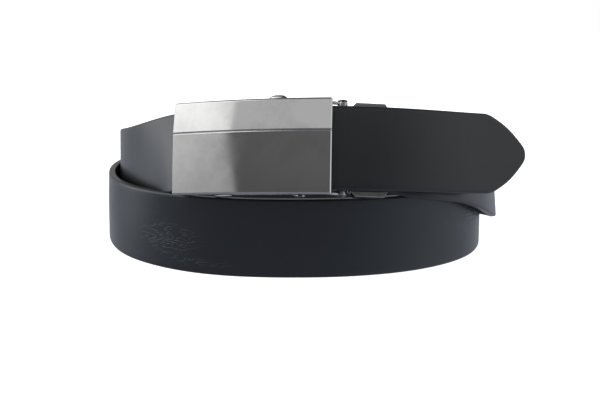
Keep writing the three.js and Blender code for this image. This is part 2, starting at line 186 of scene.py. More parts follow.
TAIL_ROWS = (
    TailRow(0.289, 0.025, -0.003),
    TailRow(0.4, 0.062, -0.002),
    TailRow(0.543, 0.137, 0.001),
    TailRow(0.678, 0.227, 0.005),
    TailRow(0.81, 0.32, 0.011),
    TailRow(0.898, 0.379, 0.016),
)
POINT_ROWS = (
    PointRow(0.0, 0.08),
    PointRow(0.04, 0.17),
    PointRow(0.13, 0.31),
    PointRow(0.29, 0.51),
    PointRow(0.5, 0.72),
    PointRow(0.72, 0.88),
    PointRow(0.88, 0.97),
    PointRow(1.0, 1.0),
)
SWELLS = (
    Swell(11.3, 0.06, 0.0, 29.0, 1.1, 1.0),
    Swell(6.1, -0.11, 0.7, 41.0, 0.0, 0.5),
    Swell(53.0, 1 / 4.7, 0.0, math.inf, math.pi / 2, 0.6),
)


def unit(vectors: Array) -> Array:
    """Vectors of length one in the same directions."""
    return vectors / np.linalg.norm(vectors, axis=-1, keepdims=True)


@dataclass(frozen=True)
class Place:
    """A turned and moved place, given by three axes as columns and an origin."""

    axes: Array
    origin: Array

    def of(self, points: Array) -> Array:
        """Points of this place, seen from the place around it."""
        return points @ self.axes.T + self.origin

    def within(self, outer: "Place") -> "Place":
        """This place, seen from what is around the outer one."""
        return Place(outer.axes @ self.axes, outer.of(self.origin))


class Spline:
    """A natural cubic curve through values at rising stations."""

    def __init__(self, stations: Array, values: Array) -> None:
        """Solves for the bends, which are the second derivatives at the stations.

        Args:
            stations: n rising numbers.
            values: n rows, one for each station.
        """
        self.stations, self.values = stations, values
        gaps = np.diff(stations)
        count = len(stations)
        system = np.eye(count)
        inner = np.arange(1, count - 1)
        system[inner, inner - 1] = gaps[:-1]
        system[inner, inner] = 2 * (gaps[:-1] + gaps[1:])
        system[inner, inner + 1] = gaps[1:]
        slopes = np.diff(values, axis=0) / gaps[:, None]
        sides = np.zeros_like(values, dtype=float)
        sides[1:-1] = 6 * np.diff(slopes, axis=0)
        self.bends = np.linalg.solve(system, sides)

    def at(self, runs: Array) -> tuple[Array, Array]:
        """Values and slopes of the curve.

        Between two stations a share apart the value is the straight line plus a cubic in the
        shares, weighted by the bends at both ends.

        Args:
            runs: where to read the curve.

        Returns:
            The values and their slopes, one row for each run.
        """
        index = np.clip(np.searchsorted(self.stations, runs) - 1, 0, len(self.stations) - 2)
        gap = (self.stations[index + 1] - self.stations[index])[:, None]
        low = (self.stations[index + 1] - runs)[:, None] / gap
        high = 1 - low
        first, last = self.values[index], self.values[index + 1]
        bend_a, bend_b = self.bends[index], self.bends[index + 1]
        curve = (low**3 - low) * bend_a + (high**3 - high) * bend_b
        slope = (last - first) / gap
        turn = (3 * high**2 - 1) * bend_b - (3 * low**2 - 1) * bend_a
        return low * first + high * last + curve * gap**2 / 6, slope + turn * gap / 6


@dataclass
class Shell:
    """A closed surface: points, four-sided faces and the many-sided faces that close its ends."""

    points: Array
    quads: Array
    caps: list[Array] = field(default_factory=list)


def ramp(value: Array, low: float, high: float) -> Array:
    """How far a value has come from low to high, kept between 0 and 1."""
    return np.clip((value - low) / (high - low), 0, 1)


def grid_quads(rows: int, columns: int) -> Array:
    """Faces of a tube whose points lie in rows, each row a closed ring.

    Args:
        rows: how many rings.
        columns: how many points each ring has.

    Returns:
        Four point numbers for each face.
    """
    row, column = np.meshgrid(np.arange(rows - 1), np.arange(columns), indexing="ij")
    near = row * columns + column
    far = row * columns + (column + 1) % columns
    return np.stack([near, far, far + columns, near + columns], axis=-1).reshape(-1, 4)


def tube(rings: Array) -> Shell:
    """A body through rings, each counter-clockwise when seen from the next ring.

    Args:
        rings: rows by columns by three coordinates.

    Returns:
        The shell, closed at both ends.
    """
    rows, columns = rings.shape[:2]
    ring = np.arange(columns)
    caps = [ring[::-1], ring + (rows - 1) * columns]
    return Shell(rings.reshape(-1, 3), grid_quads(rows, columns), caps)


def rounded(
    corners: Array, size: Array | float, steps: int = 4, tuck: float = 0.04, closed: bool = True
) -> Array:
    """A line whose corners are rounded.

    Each corner becomes a parabola between two points that lie size away from it along its two
    sides, (1-t)^2 A + 2t(1-t) C + t^2 B, with one more point tuck further along each side.

    Args:
        corners: n points in the plane.
        size: how far from each corner the rounding starts, one number or one for each corner.
        steps: pieces of each rounding.
        tuck: the extra points' distance, which keeps the flats between the roundings even.
        closed: whether the last corner is joined to the first. An open line's ends stay sharp.

    Returns:
        The points of the rounded line.
    """
    corners = np.asarray(corners, float)
    size = np.broadcast_to(np.asarray(size, float), len(corners))[:, None]
    before = unit(np.roll(corners, 1, axis=0) - corners)
    after = unit(np.roll(corners, -1, axis=0) - corners)
    share = np.linspace(0, 1, steps + 1)[None, :, None]
    start, end = corners + before * size, corners + after * size
    curve = (1 - share) ** 2 * start[:, None] + 2 * share * (1 - share) * corners[:, None]
    curve = curve + share**2 * end[:, None]
    line = np.concatenate([(start + before * tuck)[:, None], curve, (end + after * tuck)[:, None]], axis=1)
    if closed:
        return line.reshape(-1, 2)
    middle = line[1:-1].reshape(-1, 2)
    return np.concatenate([corners[:1], middle, corners[-1:]])


def outward(outline: Array) -> Array:
    """Normals of a closed outline: the mean of both sides' directions, turned a quarter clockwise.

    Args:
        outline: n points, counter-clockwise.

    Returns:
        n vectors of length one that point out of it.
    """
    tangent = unit(np.roll(outline, -1, axis=0) - outline) + unit(outline - np.roll(outline, 1, axis=0))
    tangent = unit(tangent)
    return np.stack([tangent[:, 1], -tangent[:, 0]], axis=-1)


def turning(outline: Array) -> Array:
    """The outline, counter-clockwise, told by the sign of its area.

    Args:
        outline: n points in either order.

    Returns:
        The same points, turned round where the area is negative.
    """
    x, y = outline[:, 0], outline[:, 1]
    area = np.sum(x * np.roll(y, -1) - np.roll(x, -1) * y)
    return outline if area > 0 else outline[::-1]


def prism(outline: Array, low: float, high: float, edge: float = 0.2, steps: int = 3) -> Shell:
    """An outline in the along and front directions, raised up the buckle, with rounded rims.

    Every ring is the outline moved inwards by an inset, which falls from edge to nothing along a
    parabola near both ends.

    Args:
        outline: closed points as along and front.
        low: where it starts.
        high: where it ends.
        edge: size of the rounding at both rims.
        steps: pieces of each rounding.

    Returns:
        The shell, in along, up and front coordinates.
    """
    outline = turning(outline)[::-1]
    normals = -outward(outline)
    path = [(2 * edge, low), (0, low), (0, high), (2 * edge, high)]
    rows = rounded(np.array(path), edge, steps, closed=False)
    flat = outline[None] - normals[None] * rows[:, 0, None, None]
    rise = np.broadcast_to(rows[:, 1, None], flat.shape[:2])
    return tube(np.stack([flat[..., 0], rise, flat[..., 1]], axis=-1))


def turned(profile: Array, sides: int = 48) -> Shell:
    """A body turned on the up axis, from a profile of radius and height that runs upwards.

    Each point goes round the axis: along is radius times the cosine and front minus radius times
    the sine.

    Args:
        profile: n rows of radius and height.
        sides: how many points go round.

    Returns:
        The shell, in along, up and front coordinates.
    """
    angles = np.arange(sides) * 2 * math.pi / sides
    radius, height = profile[:, :1], profile[:, 1:]
    rings = [radius * np.cos(angles), height + 0 * angles, -radius * np.sin(angles)]
    return tube(np.stack(rings, axis=-1))


def moved(shell: Shell, place: Place) -> Shell:
    """The shell in another place."""
    return Shell(place.of(shell.points), shell.quads, shell.caps)


def make_piece(name: str, shells: list[Shell]) -> bpy.types.Object:
    """One object from closed shells in millimetres.

    Args:
        name: the piece's name.
        shells: what it is made of, in the part's own place.

    Returns:
        The object, smoothly shaded, with its place in its mesh.
    """
    starts = np.cumsum([0] + [len(shell.points) for shell in shells[:-1]])
    faces: list[list[int]] = []
    for shell, start in zip(shells, starts):
        faces += (shell.quads + start).tolist()
        faces += [(cap + start).tolist() for cap in shell.caps]
    mesh = bpy.data.meshes.new(name)
    points = np.concatenate([shell.points for shell in shells]) * MM
    mesh.from_pydata(points.tolist(), [], faces)
    mesh.polygons.foreach_set("use_smooth", np.ones(len(faces), bool))
    mesh.update()
    piece = bpy.data.objects.new(name, mesh)
    bpy.context.scene.collection.objects.link(piece)
    return piece


def settle(
    piece: bpy.types.Object, body: Body, slot: Slot, finish: bpy.types.Material, *nodes: str
) -> None:
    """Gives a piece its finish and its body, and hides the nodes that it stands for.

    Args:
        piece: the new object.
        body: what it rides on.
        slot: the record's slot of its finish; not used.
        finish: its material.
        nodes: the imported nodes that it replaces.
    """
    piece.data.materials.append(finish)
    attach(piece, body.value)
    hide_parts(*nodes)
    log.info("%s: %d faces, rides on %s", piece.name, len(piece.data.polygons), body.value)


class Graph:
    """Puts nodes into a node tree and joins them."""

    def __init__(self, tree: bpy.types.NodeTree) -> None:
        """Takes the tree and empties it."""
        self.tree = tree
        tree.nodes.clear()

    def add(self, kind: str, joins: dict | None = None, **settings: object) -> bpy.types.Node:
        """A new node.

        Args:
            kind: Blender's name of the node type.
            joins: input socket, by name or number, to a value or another node's output.
            settings: the node's own properties.

        Returns:
            The node.
        """
        node = self.tree.nodes.new(kind)
        for name, value in settings.items():
            setattr(node, name, value)
        self.fill(node, joins or {})
        return node

    def math(self, operation: str, *values: Socket | float) -> Socket:
        """One step of arithmetic."""
        return self.add("ShaderNodeMath", dict(enumerate(values)), operation=operation).outputs[0]

    def step(self, value: Socket, low: float, high: float, start: float = 0.0, end: float = 1.0) -> Socket:
        """A smooth step of a value from low to high, which gives start and then end."""
        joins = {"Value": value, "From Min": low, "From Max": high, "To Min": start, "To Max": end}
        return self.add("ShaderNodeMapRange", joins, interpolation_type="SMOOTHSTEP").outputs[0]

    def blend(self, share: Socket | float, first: Socket | float, last: Socket | float) -> Socket:
        """A number between two others."""
        joins = {0: share, 2: first, 3: last}
        return self.add("ShaderNodeMix", joins, data_type="FLOAT").outputs[0]

    def tint(self, share: Socket | float, first: Socket | tuple, last: Socket | tuple) -> Socket:
        """A colour between two others."""
        joins = {0: share, 6: first, 7: last}
        return self.add("ShaderNodeMix", joins, data_type="RGBA").outputs[2]

    def stretched(self, place: Socket, scale: tuple[float, float, float]) -> Socket:
        """A place scaled by another amount along each axis."""
        return self.add("ShaderNodeMapping", {"Vector": place, "Scale": scale}).outputs[0]

    def from_middle(self, noise: Socket) -> Socket:
        """How far a noise is from its middle value, which is nothing along thin wandering lines."""
        return self.math("ABSOLUTE", self.math("SUBTRACT", noise, NOISE_MIDDLE))

    def fill(self, node: bpy.types.Node, joins: dict) -> None:
        """Sets or links several inputs of a node.

        Args:
            node: a node that is there already.
            joins: input socket, by name or number, to a value or another node's output.
        """
        for socket, value in joins.items():
            if isinstance(value, bpy.types.NodeSocket):
                self.tree.links.new(value, node.inputs[socket])
            else:
                node.inputs[socket].default_value = value

    def noise(self, place: Socket, scale: Socket | float, detail: float = 2.0, blur: float = 0.5) -> Socket:
        """Cloudy noise from 0 to 1."""
        joins = {"Vector": place, "Scale": scale, "Detail": detail, "Roughness": blur}
        return self.add("ShaderNodeTexNoise", joins).outputs[0]


def colour(red: float, green: float, blue: float) -> tuple[float, float, float, float]:
    """An opaque colour."""
    return (red, green, blue, 1.0)


def new_group(
    name: str, inputs: dict[str, tuple[str, object]], outputs: tuple[str, ...]
) -> tuple[Graph, Socket, dict]:
    """An empty shader group.

    Args:
        name: the group's name.
        inputs: socket name to its kind and first value.
        outputs: names of the numbers that it puts out.

    Returns:
        Its graph, the outputs of its input node, and the inputs of its output node.
    """
    tree = bpy.data.node_groups.new(name, "ShaderNodeTree")
    graph = Graph(tree)
    for socket, (kind, value) in inputs.items():
        made = tree.interface.new_socket(name=socket, in_out="INPUT", socket_type=kind)
        if value is not None:
            made.default_value = value
    for socket in outputs:
        tree.interface.new_socket(name=socket, in_out="OUTPUT", socket_type="NodeSocketFloat")
    return graph, graph.add("NodeGroupInput").outputs, graph.add("NodeGroupOutput").inputs


@dataclass(frozen=True)
class GrainEffect:
    """Leather grain: fine pores between soft pebbles, over slow swells."""

    usual_pebbles: float = 900.0
    pebble_edge: float = 0.22
    pores_per_pebble: float = 3.0
    pore_detail: float = 3.0
    pore_blur: float = 0.6
    swells_per_metre: float = 60.0
    pore_share: float = 0.45
    pebble_share: float = 0.35
    swell_share: float = 0.2
    tone_span: tuple[float, float] = (0.3, 0.7)

    def build(self) -> bpy.types.NodeTree:
        """Makes the shader group.

        Returns:
            The group, whose Height and Tone run from 0 to 1.
        """
        inputs = {
            "Place": ("NodeSocketVector", None),
            "Pebbles per metre": ("NodeSocketFloat", self.usual_pebbles),
        }
        graph, given, out = new_group("Leather grain", inputs, ("Height", "Tone"))
        place, density = given["Place"], given["Pebbles per metre"]
        cells = {"Vector": place, "Scale": density, "Randomness": 1.0}
        pebbles = graph.add("ShaderNodeTexVoronoi", cells, feature="DISTANCE_TO_EDGE").outputs["Distance"]
        lifted = graph.step(pebbles, 0.0, self.pebble_edge)
        finer = graph.math("MULTIPLY", density, self.pores_per_pebble)
        pores = graph.noise(place, finer, self.pore_detail, self.pore_blur)
        swells = graph.noise(place, self.swells_per_metre)
        between = graph.math("MULTIPLY", lifted, self.pebble_share)
        fine = graph.math("MULTIPLY_ADD", pores, self.pore_share, between)
        graph.tree.links.new(graph.math("MULTIPLY_ADD", swells, self.swell_share, fine), out["Height"])
        graph.tree.links.new(graph.step(swells, *self.tone_span), out["Tone"])
        return graph.tree


@dataclass(frozen=True)
class MarksEffect:
    """Marks of handling: cloudy smears and a few short scratches."""

    usual_smears: float = 60.0
    smear_detail: float = 5.0
    smear_blur: float = 0.62
    smear_span: tuple[float, float] = (0.42, 0.66)
    scratch_stretch: tuple[float, float, float] = (1.0, 1.0, 9.0)
    scratches_per_smear: float = 6.0
    scratch_width: float = 0.012
    patches_per_metre: float = 90.0
    patch_detail: float = 1.0
    patch_span: tuple[float, float] = (0.56, 0.66)

    def build(self) -> bpy.types.NodeTree:
        """Makes the shader group.

        Returns:
            The group, whose Smear and Scratch run from 0 to 1.
        """
        inputs = {
            "Place": ("NodeSocketVector", None),
            "Smears per metre": ("NodeSocketFloat", self.usual_smears),
        }
        graph, given, out = new_group("Handling marks", inputs, ("Smear", "Scratch"))
        place, density = given["Place"], given["Smears per metre"]
        bent = graph.noise(place, density, self.smear_detail, self.smear_blur)
        graph.tree.links.new(graph.step(bent, *self.smear_span), out["Smear"])
        across = graph.stretched(place, self.scratch_stretch)
        lines = graph.noise(across, graph.math("MULTIPLY", density, self.scratches_per_smear))
        ridge = graph.step(graph.from_middle(lines), self.scratch_width, 0.0)
        patches = graph.noise(place, self.patches_per_metre, self.patch_detail)
        scratch = graph.math("MULTIPLY", ridge, graph.step(patches, *self.patch_span))
        graph.tree.links.new(scratch, out["Scratch"])
        return graph.tree


def new_material(name: str) -> tuple[bpy.types.Material, Graph]:
    """An empty material with nodes.

    Args:
        name: the material's name.

    Returns:
        The material, and the graph of its nodes.
    """
    material = bpy.data.materials.new(name)
    material.use_nodes = True
    return material, Graph(material.node_tree)


def close_material(graph: Graph, shader: bpy.types.Node) -> None:
    """Joins the shader to the material's surface."""
    graph.add("ShaderNodeOutputMaterial", {"Surface": shader.outputs[0]})


@dataclass(frozen=True)
class LeatherFinish:
    """Smooth satin leather with painted edges and a plain inner face."""

    dye: tuple = colour(0.0085, 0.0095, 0.0125)
    worn_dye: tuple = colour(0.012, 0.0135, 0.017)
    edge_paint: tuple = colour(0.007, 0.0075, 0.0085)
    lining: tuple = colour(0.017, 0.0165, 0.017)
    gloss: tuple[float, float] = (0.38, 0.44)
    edge_gloss: float = 0.32
    lining_gloss: float = 0.62
    glint: tuple = colour(0.84, 0.92, 1.0)
    wax: float = 0.5
    wax_gloss: float = 0.28
    pebbles: float = 1300.0
    grain_depth: float = 0.025
    crease_depth: float = 0.085
    smears: float = 130.0
    tone_share: float = 0.2
    scuff_share: float = 0.5
    fold_stretch: tuple[float, float, float] = (1.0, 3.4, 1.0)
    folds_per_metre: float = 125.0
    fold_detail: float = 3.0
    fold_blur: float = 0.55
    fold_width: float = 0.05
    patch_edge: tuple[float, float] = (1.0, 0.1)
    creases: tuple[CreasePatch, ...] = (
        CreasePatch(322, -3, 20, 10),
        CreasePatch(332, -12, 20, 3),
        CreasePatch(640, 4, 22, 9),
        CreasePatch(418, 3, 24, 8),
    )

    def build(self, groups: "Groups", route: "Route") -> bpy.types.Material:
        """The material, which reads the strap's own map and masks.

        Args:
            groups: the shared effects.
            route: where the strap runs, to find the creased stretches.

        Returns:
            The material.
        """
        material, graph = new_material("Black leather")
        place = graph.add("ShaderNodeUVMap", uv_map=Strap.MAP).outputs[0]
        grain = graph.add("ShaderNodeGroup", node_tree=groups.grain)
        marks = graph.add("ShaderNodeGroup", node_tree=groups.marks)
        graph.fill(grain, {"Place": place, "Pebbles per metre": self.pebbles})
        graph.fill(marks, {"Place": place, "Smears per metre": self.smears})
        edge = graph.add("ShaderNodeAttribute", attribute_name=Strap.EDGE).outputs["Fac"]
        inner = graph.add("ShaderNodeAttribute", attribute_name=Strap.INNER).outputs["Fac"]

        patch = self.patches(graph, place, route)
        drawn = graph.stretched(place, self.fold_stretch)
        fibres = graph.noise(drawn, self.folds_per_metre, self.fold_detail, self.fold_blur)
        folds = graph.step(graph.from_middle(fibres), self.fold_width, 0.0)
        crease = graph.math("MULTIPLY", folds, patch)

        worn = graph.math("MULTIPLY", patch, self.scuff_share)
        scuff = graph.math("MULTIPLY", marks.outputs["Smear"], worn)
        tone = graph.math("MULTIPLY", grain.outputs["Tone"], self.tone_share)
        face = graph.tint(tone, self.dye, self.worn_dye)
        face = graph.tint(scuff, face, self.worn_dye)
        base = graph.tint(inner, graph.tint(edge, face, self.edge_paint), self.lining)
        rough = graph.blend(grain.outputs["Tone"], *self.gloss)
        rough = graph.blend(marks.outputs["Scratch"], rough, self.lining_gloss)
        rough = graph.blend(edge, rough, self.edge_gloss)
        rough = graph.blend(inner, rough, self.lining_gloss)

        relief = graph.math("MULTIPLY", grain.outputs["Height"], self.grain_depth)
        relief = graph.math("SUBTRACT", relief, graph.math("MULTIPLY", crease, self.crease_depth))
        bump = graph.add("ShaderNodeBump", {"Strength": 1.0, "Distance": MM, "Height": relief})
        joins = {
            "Base Color": base,
            "Roughness": rough,
            "Normal": bump.outputs[0],
            "IOR": 1.55,
            "Specular Tint": self.glint,
            "Coat Weight": graph.blend(graph.math("MAXIMUM", inner, edge), self.wax, 0.0),
            "Coat Roughness": self.wax_gloss,
            "Coat Normal": bump.outputs[0],
        }
        close_material(graph, graph.add("ShaderNodeBsdfPrincipled", joins))
        return material

    def patches(self, graph: Graph, place: Socket, route: "Route") -> Socket:
        """A mask of the creased stretches: soft ellipses on the strap's map, added together.

        Args:
            graph: the material's graph.
            place: the strap's map.
            route: where the strap runs.

        Returns:
            The mask, from 0 to 1.
        """
        split = graph.add("ShaderNodeSeparateXYZ", {"Vector": place}).outputs
        total: Socket | float = 0.0
        for patch in self.creases:
            along = graph.math("SUBTRACT", split[0], route.run_at(patch.turn) * MM)
            along = graph.math("DIVIDE", along, patch.along * MM)
            across = graph.math("SUBTRACT", split[1], patch.rise * MM)
            across = graph.math("DIVIDE", across, patch.across * MM)
            reach = graph.math("MULTIPLY_ADD", along, along, graph.math("MULTIPLY", across, across))
            total = graph.math("ADD", total, graph.step(reach, *self.patch_edge))
        return graph.math("MINIMUM", total, 1.0)


@dataclass(frozen=True)
class MetalFinish:
    """Plated metal, from a mirror polish to a satin one, with the marks of handling."""

    name: str
    base: tuple
    smeared: tuple
    gloss: float
    smeared_gloss: float
    smears: float
    ripple: float
    scratch_gloss: float = 0.12
    swells_per_metre: float = 45.0
    swell_detail: float = 1.0
    specks_per_metre: float = 2400.0
    speck_share: float = 0.05

    def build(self, groups: "Groups") -> bpy.types.Material:
        """The material, which reads object coordinates.

        Args:
            groups: the shared effects.

        Returns:
            The material.
        """
        material, graph = new_material(self.name)
        place = graph.add("ShaderNodeTexCoord").outputs["Object"]
        marks = graph.add("ShaderNodeGroup", node_tree=groups.marks)
        graph.fill(marks, {"Place": place, "Smears per metre": self.smears})
        smear = marks.outputs["Smear"]
        base = graph.tint(smear, self.base, self.smeared)
        rough = graph.blend(smear, self.gloss, self.smeared_gloss)
        rough = graph.math("MULTIPLY_ADD", marks.outputs["Scratch"], self.scratch_gloss, rough)
        swell = graph.noise(place, self.swells_per_metre, self.swell_detail)
        fine = graph.math("MULTIPLY", graph.noise(place, self.specks_per_metre), self.speck_share)
        relief = {"Distance": self.ripple * MM, "Height": graph.math("ADD", swell, fine), "Strength": 1.0}
        bump = graph.add("ShaderNodeBump", relief)
        joins = {"Base Color": base, "Roughness": rough, "Metallic": 1.0, "Normal": bump.outputs[0]}
        close_material(graph, graph.add("ShaderNodeBsdfPrincipled", joins))
        return material


@dataclass(frozen=True)
class NylonFinish:
    """Moulded nylon with a fine spark texture."""

    base: tuple = colour(0.011, 0.011, 0.012)
    pale: tuple = colour(0.02, 0.02, 0.021)
    gloss: tuple[float, float] = (0.38, 0.52)
    smears: float = 160.0
    smear_share: float = 0.6
    sparks_per_metre: float = 3200.0
    spark_detail: float = 3.0
    spark_strength: float = 0.5
    spark_depth: float = 0.03

    def build(self, groups: "Groups") -> bpy.types.Material:
        """The material, which reads object coordinates.

        Args:
            groups: the shared effects.

        Returns:
            The material.
        """
        material, graph = new_material("Black nylon")
        place = graph.add("ShaderNodeTexCoord").outputs["Object"]
        marks = graph.add("ShaderNodeGroup", node_tree=groups.marks)
        graph.fill(marks, {"Place": place, "Smears per metre": self.smears})
        smear = graph.math("MULTIPLY", marks.outputs["Smear"], self.smear_share)
        base = graph.tint(smear, self.base, self.pale)
        spark = graph.noise(place, self.sparks_per_metre, self.spark_detail)
        relief = {"Strength": self.spark_strength, "Distance": self.spark_depth * MM, "Height": spark}
        bump = graph.add("ShaderNodeBump", relief)
        joins = {
            "Base Color": base,
            "Roughness": graph.blend(marks.outputs["Smear"], *self.gloss),
            "Normal": bump.outputs[0],
        }
        close_material(graph, graph.add("ShaderNodeBsdfPrincipled", joins))
        return material


@dataclass(frozen=True)
class Groups:
    """The effects that more than one finish uses."""

    grain: bpy.types.NodeTree
    marks: bpy.types.NodeTree


@dataclass
class Buckle:
    """Where the buckle stands and the sizes that its pieces share."""

    aside: float = 20.3
    forward: float = 81.6
    lift: float = 57.0
    yaw: float = math.radians(-14.5)
    roll: float = math.radians(3.9)
    lean: float = math.radians(19.2)
    bow: float = 238.0
    half_strap: float = 17.5
    half_leather: float = 1.7
    channel_slack: float = 1.1
    front_slack: float = 0.5
    wall_thickness: float = 1.1
    clamp_pin_run: float = 38.2
    clamp_pin_depth: float = 8.0
    clamp_turn: float = math.radians(22)
    lever_run: float = 11.0
    lever_pivot: float = 9.0
    lever_depth: float = 6.8
    seat_gap: float = 0.3
    track_thickness: float = 1.8
    bar_step: float = 0.75
    bevel_round: float = 0.12
    bevel_steps: int = 3
    bevel_tuck: float = 0.02

    def __post_init__(self) -> None:
        """Works out the sizes that follow from the others."""
        self.wall_inside = self.half_strap + self.channel_slack
        self.wall_outside = self.wall_inside + self.wall_thickness
        self.plate_back = self.half_leather + self.front_slack
        self.track_front = -(self.half_leather + self.seat_gap)
        self.track_back = self.track_front - self.track_thickness
        self.ring = self.ring_place()
        joint = np.array(frame["joints"][0]["pos_m"]) / MM
        pivot = self.lever_place().of(np.array([self.lever_pivot, 0, -self.lever_depth]))
        self.shift = joint - self.ring.of(pivot)
        self.place = Place(self.ring.axes, self.ring.origin + self.shift)

    def ring_place(self) -> Place:
        """The buckle on the ring: along the plate, up it and out of its front.

        Along is turned by the yaw and raised by the roll. Up is square to it and leans back.

        Returns:
            The place, on the ring.
        """
        flat = math.cos(self.roll)
        along = np.array([math.cos(self.yaw) * flat, math.sin(self.yaw) * flat, math.sin(self.roll)])
        upright = unit(np.array([0, 0, 1.0]) - along * along[2])
        level = np.cross(along, upright)
        up = upright * math.cos(self.lean) - level * math.sin(self.lean)
        axes = np.stack([along, up, np.cross(along, up)], axis=1)
        return Place(axes, np.array([-self.aside, -self.forward, self.lift]))

    def bowed(self, run: Array, rise: Array, out: Array) -> Array:
        """Points of the bowed buckle.

        The angle is the run over the bow's radius. Along is the radius plus out, times its sine,
        and front the same times its cosine, less the radius.

        Args:
            run: distance along the plate's middle line.
            rise: distance up the plate.
            out: distance out of it.

        Returns:
            The points, in the buckle's place.
        """
        run, rise, out = np.broadcast_arrays(np.asarray(run, float), rise, out)
        angle, radius = run / self.bow, self.bow + out
        return np.stack([radius * np.sin(angle), rise, radius * np.cos(angle) - self.bow], axis=-1)

    def square_to(self, run: float, out: float, turn: float = 0.0) -> Place:
        """A place on the bow, turned square to it.

        Args:
            run: distance along the plate's middle line.
            out: distance out of it.
            turn: a further angle about up.

        Returns:
            The place, in the buckle.
        """
        angle = run / self.bow + turn
        sine, cosine = math.sin(angle), math.cos(angle)
        axes = np.array([[cosine, 0, sine], [0, 1, 0], [-sine, 0, cosine]])
        return Place(axes, self.bowed(run, 0.0, out))

    def lever_place(self) -> Place:
        """The lever, in the buckle."""
        return self.square_to(self.lever_run, 0.0)

    def clamp_place(self) -> Place:
        """The clamp on its hinge pin, which stands at a depth behind the bow's middle.

        Returns:
            The place, in the buckle.
        """
        angle = self.clamp_pin_run / self.bow
        depth = self.bow - (self.bow - self.clamp_pin_depth) / math.cos(angle)
        return self.square_to(self.clamp_pin_run, -depth, self.clamp_turn - angle)

    def bar(self, corners: Array, size: Array | float, start: float, end: float, bevel: float) -> Shell:
        """A bar that follows the bow, from corners of rise and out, with bevelled ends.

        Every ring is the rounded section moved inwards by an inset along its own normals. The
        inset falls from the bevel to nothing near both ends.

        Args:
            corners: the section, counter-clockwise.
            size: rounding of its corners.
            start: run of its first end.
            end: run of its last end.
            bevel: size of the bevel at the ends.

        Returns:
            The shell, in the buckle's place.
        """
        section = rounded(corners, size)
        normals = outward(section)
        ends = [(start, 2 * bevel), (start, bevel), (start + bevel, 0), (end - bevel, 0), (end, bevel)]
        ends.append((end, 2 * bevel))
        size = self.bevel_round * min(1.0, bevel)
        rows = rounded(np.array(ends), size, self.bevel_steps, self.bevel_tuck, closed=False)
        half = len(rows) // 2
        middle = np.linspace(rows[half - 1], rows[half], round((end - start) / self.bar_step))[1:-1]
        rows = np.concatenate([rows[:half], middle, rows[half:]])
        flat = section[None] - normals[None] * rows[:, 1, None, None]
        return tube(self.bowed(rows[:, :1], flat[..., 0], flat[..., 1]))


class Route:
    """Where the strap runs, from its clamped end to its tip."""

    COIL_RADIUS = 100.0
    CHANNEL_DROP = 0.35
    TAIL_LENGTH = 124.0
    PLATE_WIDTH = 69.0
    CLAMP_START = 3.3
    CLAMP_LENGTH = 19.0
    CLAMP_SEAT = 1.1

    def __init__(self, buckle: Buckle) -> None:
        """Lays the path through the clamp, round the coil, through the buckle and down the tail.

        Args:
            buckle: the buckle that the path runs through.
        """
        self.buckle = buckle
        width = 2 * buckle.half_strap
        up = buckle.ring.axes[:, 1]
        clamp = buckle.clamp_place().within(buckle.ring)
        middle = (self.CLAMP_START + self.CLAMP_LENGTH) / 2
        runs = np.array([self.CLAMP_START + buckle.seat_gap, middle, self.CLAMP_LENGTH])
        seats = np.stack([runs, 0 * runs - self.CHANNEL_DROP, 0 * runs - self.CLAMP_SEAT], axis=-1)

        turn, reach, rise, lean = np.array(COIL_ROWS).T
        turn, lean = np.radians(turn), np.radians(lean)
        out = np.stack([np.sin(turn), -np.cos(turn), 0 * turn], axis=-1)
        coil = out * (reach * self.COIL_RADIUS)[:, None]
        coil[:, 2] = rise * width + buckle.half_strap * np.cos(lean) + buckle.half_leather * np.sin(lean)
        coil_up = -out * np.sin(lean)[:, None]
        coil_up[:, 2] = np.cos(lean)

        run, back, drop = np.array(CHANNEL_ROWS).T
        fall, depth = -self.CHANNEL_DROP - drop * width, -back * self.PLATE_WIDTH
        channel = buckle.bowed(run * self.PLATE_WIDTH, fall, depth)
        tail = np.array(TAIL_ROWS)[:, [0, 2, 1]] * np.array([1, 1, -1]) * self.TAIL_LENGTH

        points = np.concatenate([clamp.of(seats), coil, buckle.ring.of(channel), buckle.ring.of(tail)])
        straight = len(CHANNEL_ROWS) + len(TAIL_ROWS)
        ups = np.concatenate([np.tile(up, (len(seats), 1)), coil_up, np.tile(up, (straight, 1))])
        steps = np.linalg.norm(np.diff(points, axis=0), axis=1)
        self.stations = np.concatenate([[0], np.cumsum(steps)])
        self.length = self.stations[-1]
        self.coil_start = len(seats)
        middle = self.coil_start + len(COIL_ROWS) + int(np.argmin(np.abs(run)))
        self.middle = self.stations[middle]
        self.line, self.ups = Spline(self.stations, points + buckle.shift), Spline(self.stations, ups)

    def run_at(self, turn: float) -> float:
        """The run at a turn of the coil, even between the coil's rows.

        Args:
            turn: degrees from the front, as in the rows.

        Returns:
            The distance along the strap.
        """
        turns = [row.turn for row in COIL_ROWS]
        stations = self.stations[self.coil_start : self.coil_start + len(turns)]
        return float(np.interp(turn, turns, stations))

    def stand(self, runs: Array, rise: Array, out: Array) -> Array:
        """Points that stand on the path.

        The tangent is the curve's slope, up is made square to it, and out is their cross product.

        Args:
            runs: n places along the path.
            rise: n by m heights along up.
            out: n by m heights along out.

        Returns:
            n by m points in the part's place.
        """
        at, slope = self.line.at(runs)
        along = unit(slope)
        up = self.ups.at(runs)[0]
        up = unit(up - along * np.sum(up * along, axis=1, keepdims=True))
        face = np.cross(along, up)
        return at[:, None] + up[:, None] * rise[..., None] + face[:, None] * out[..., None]


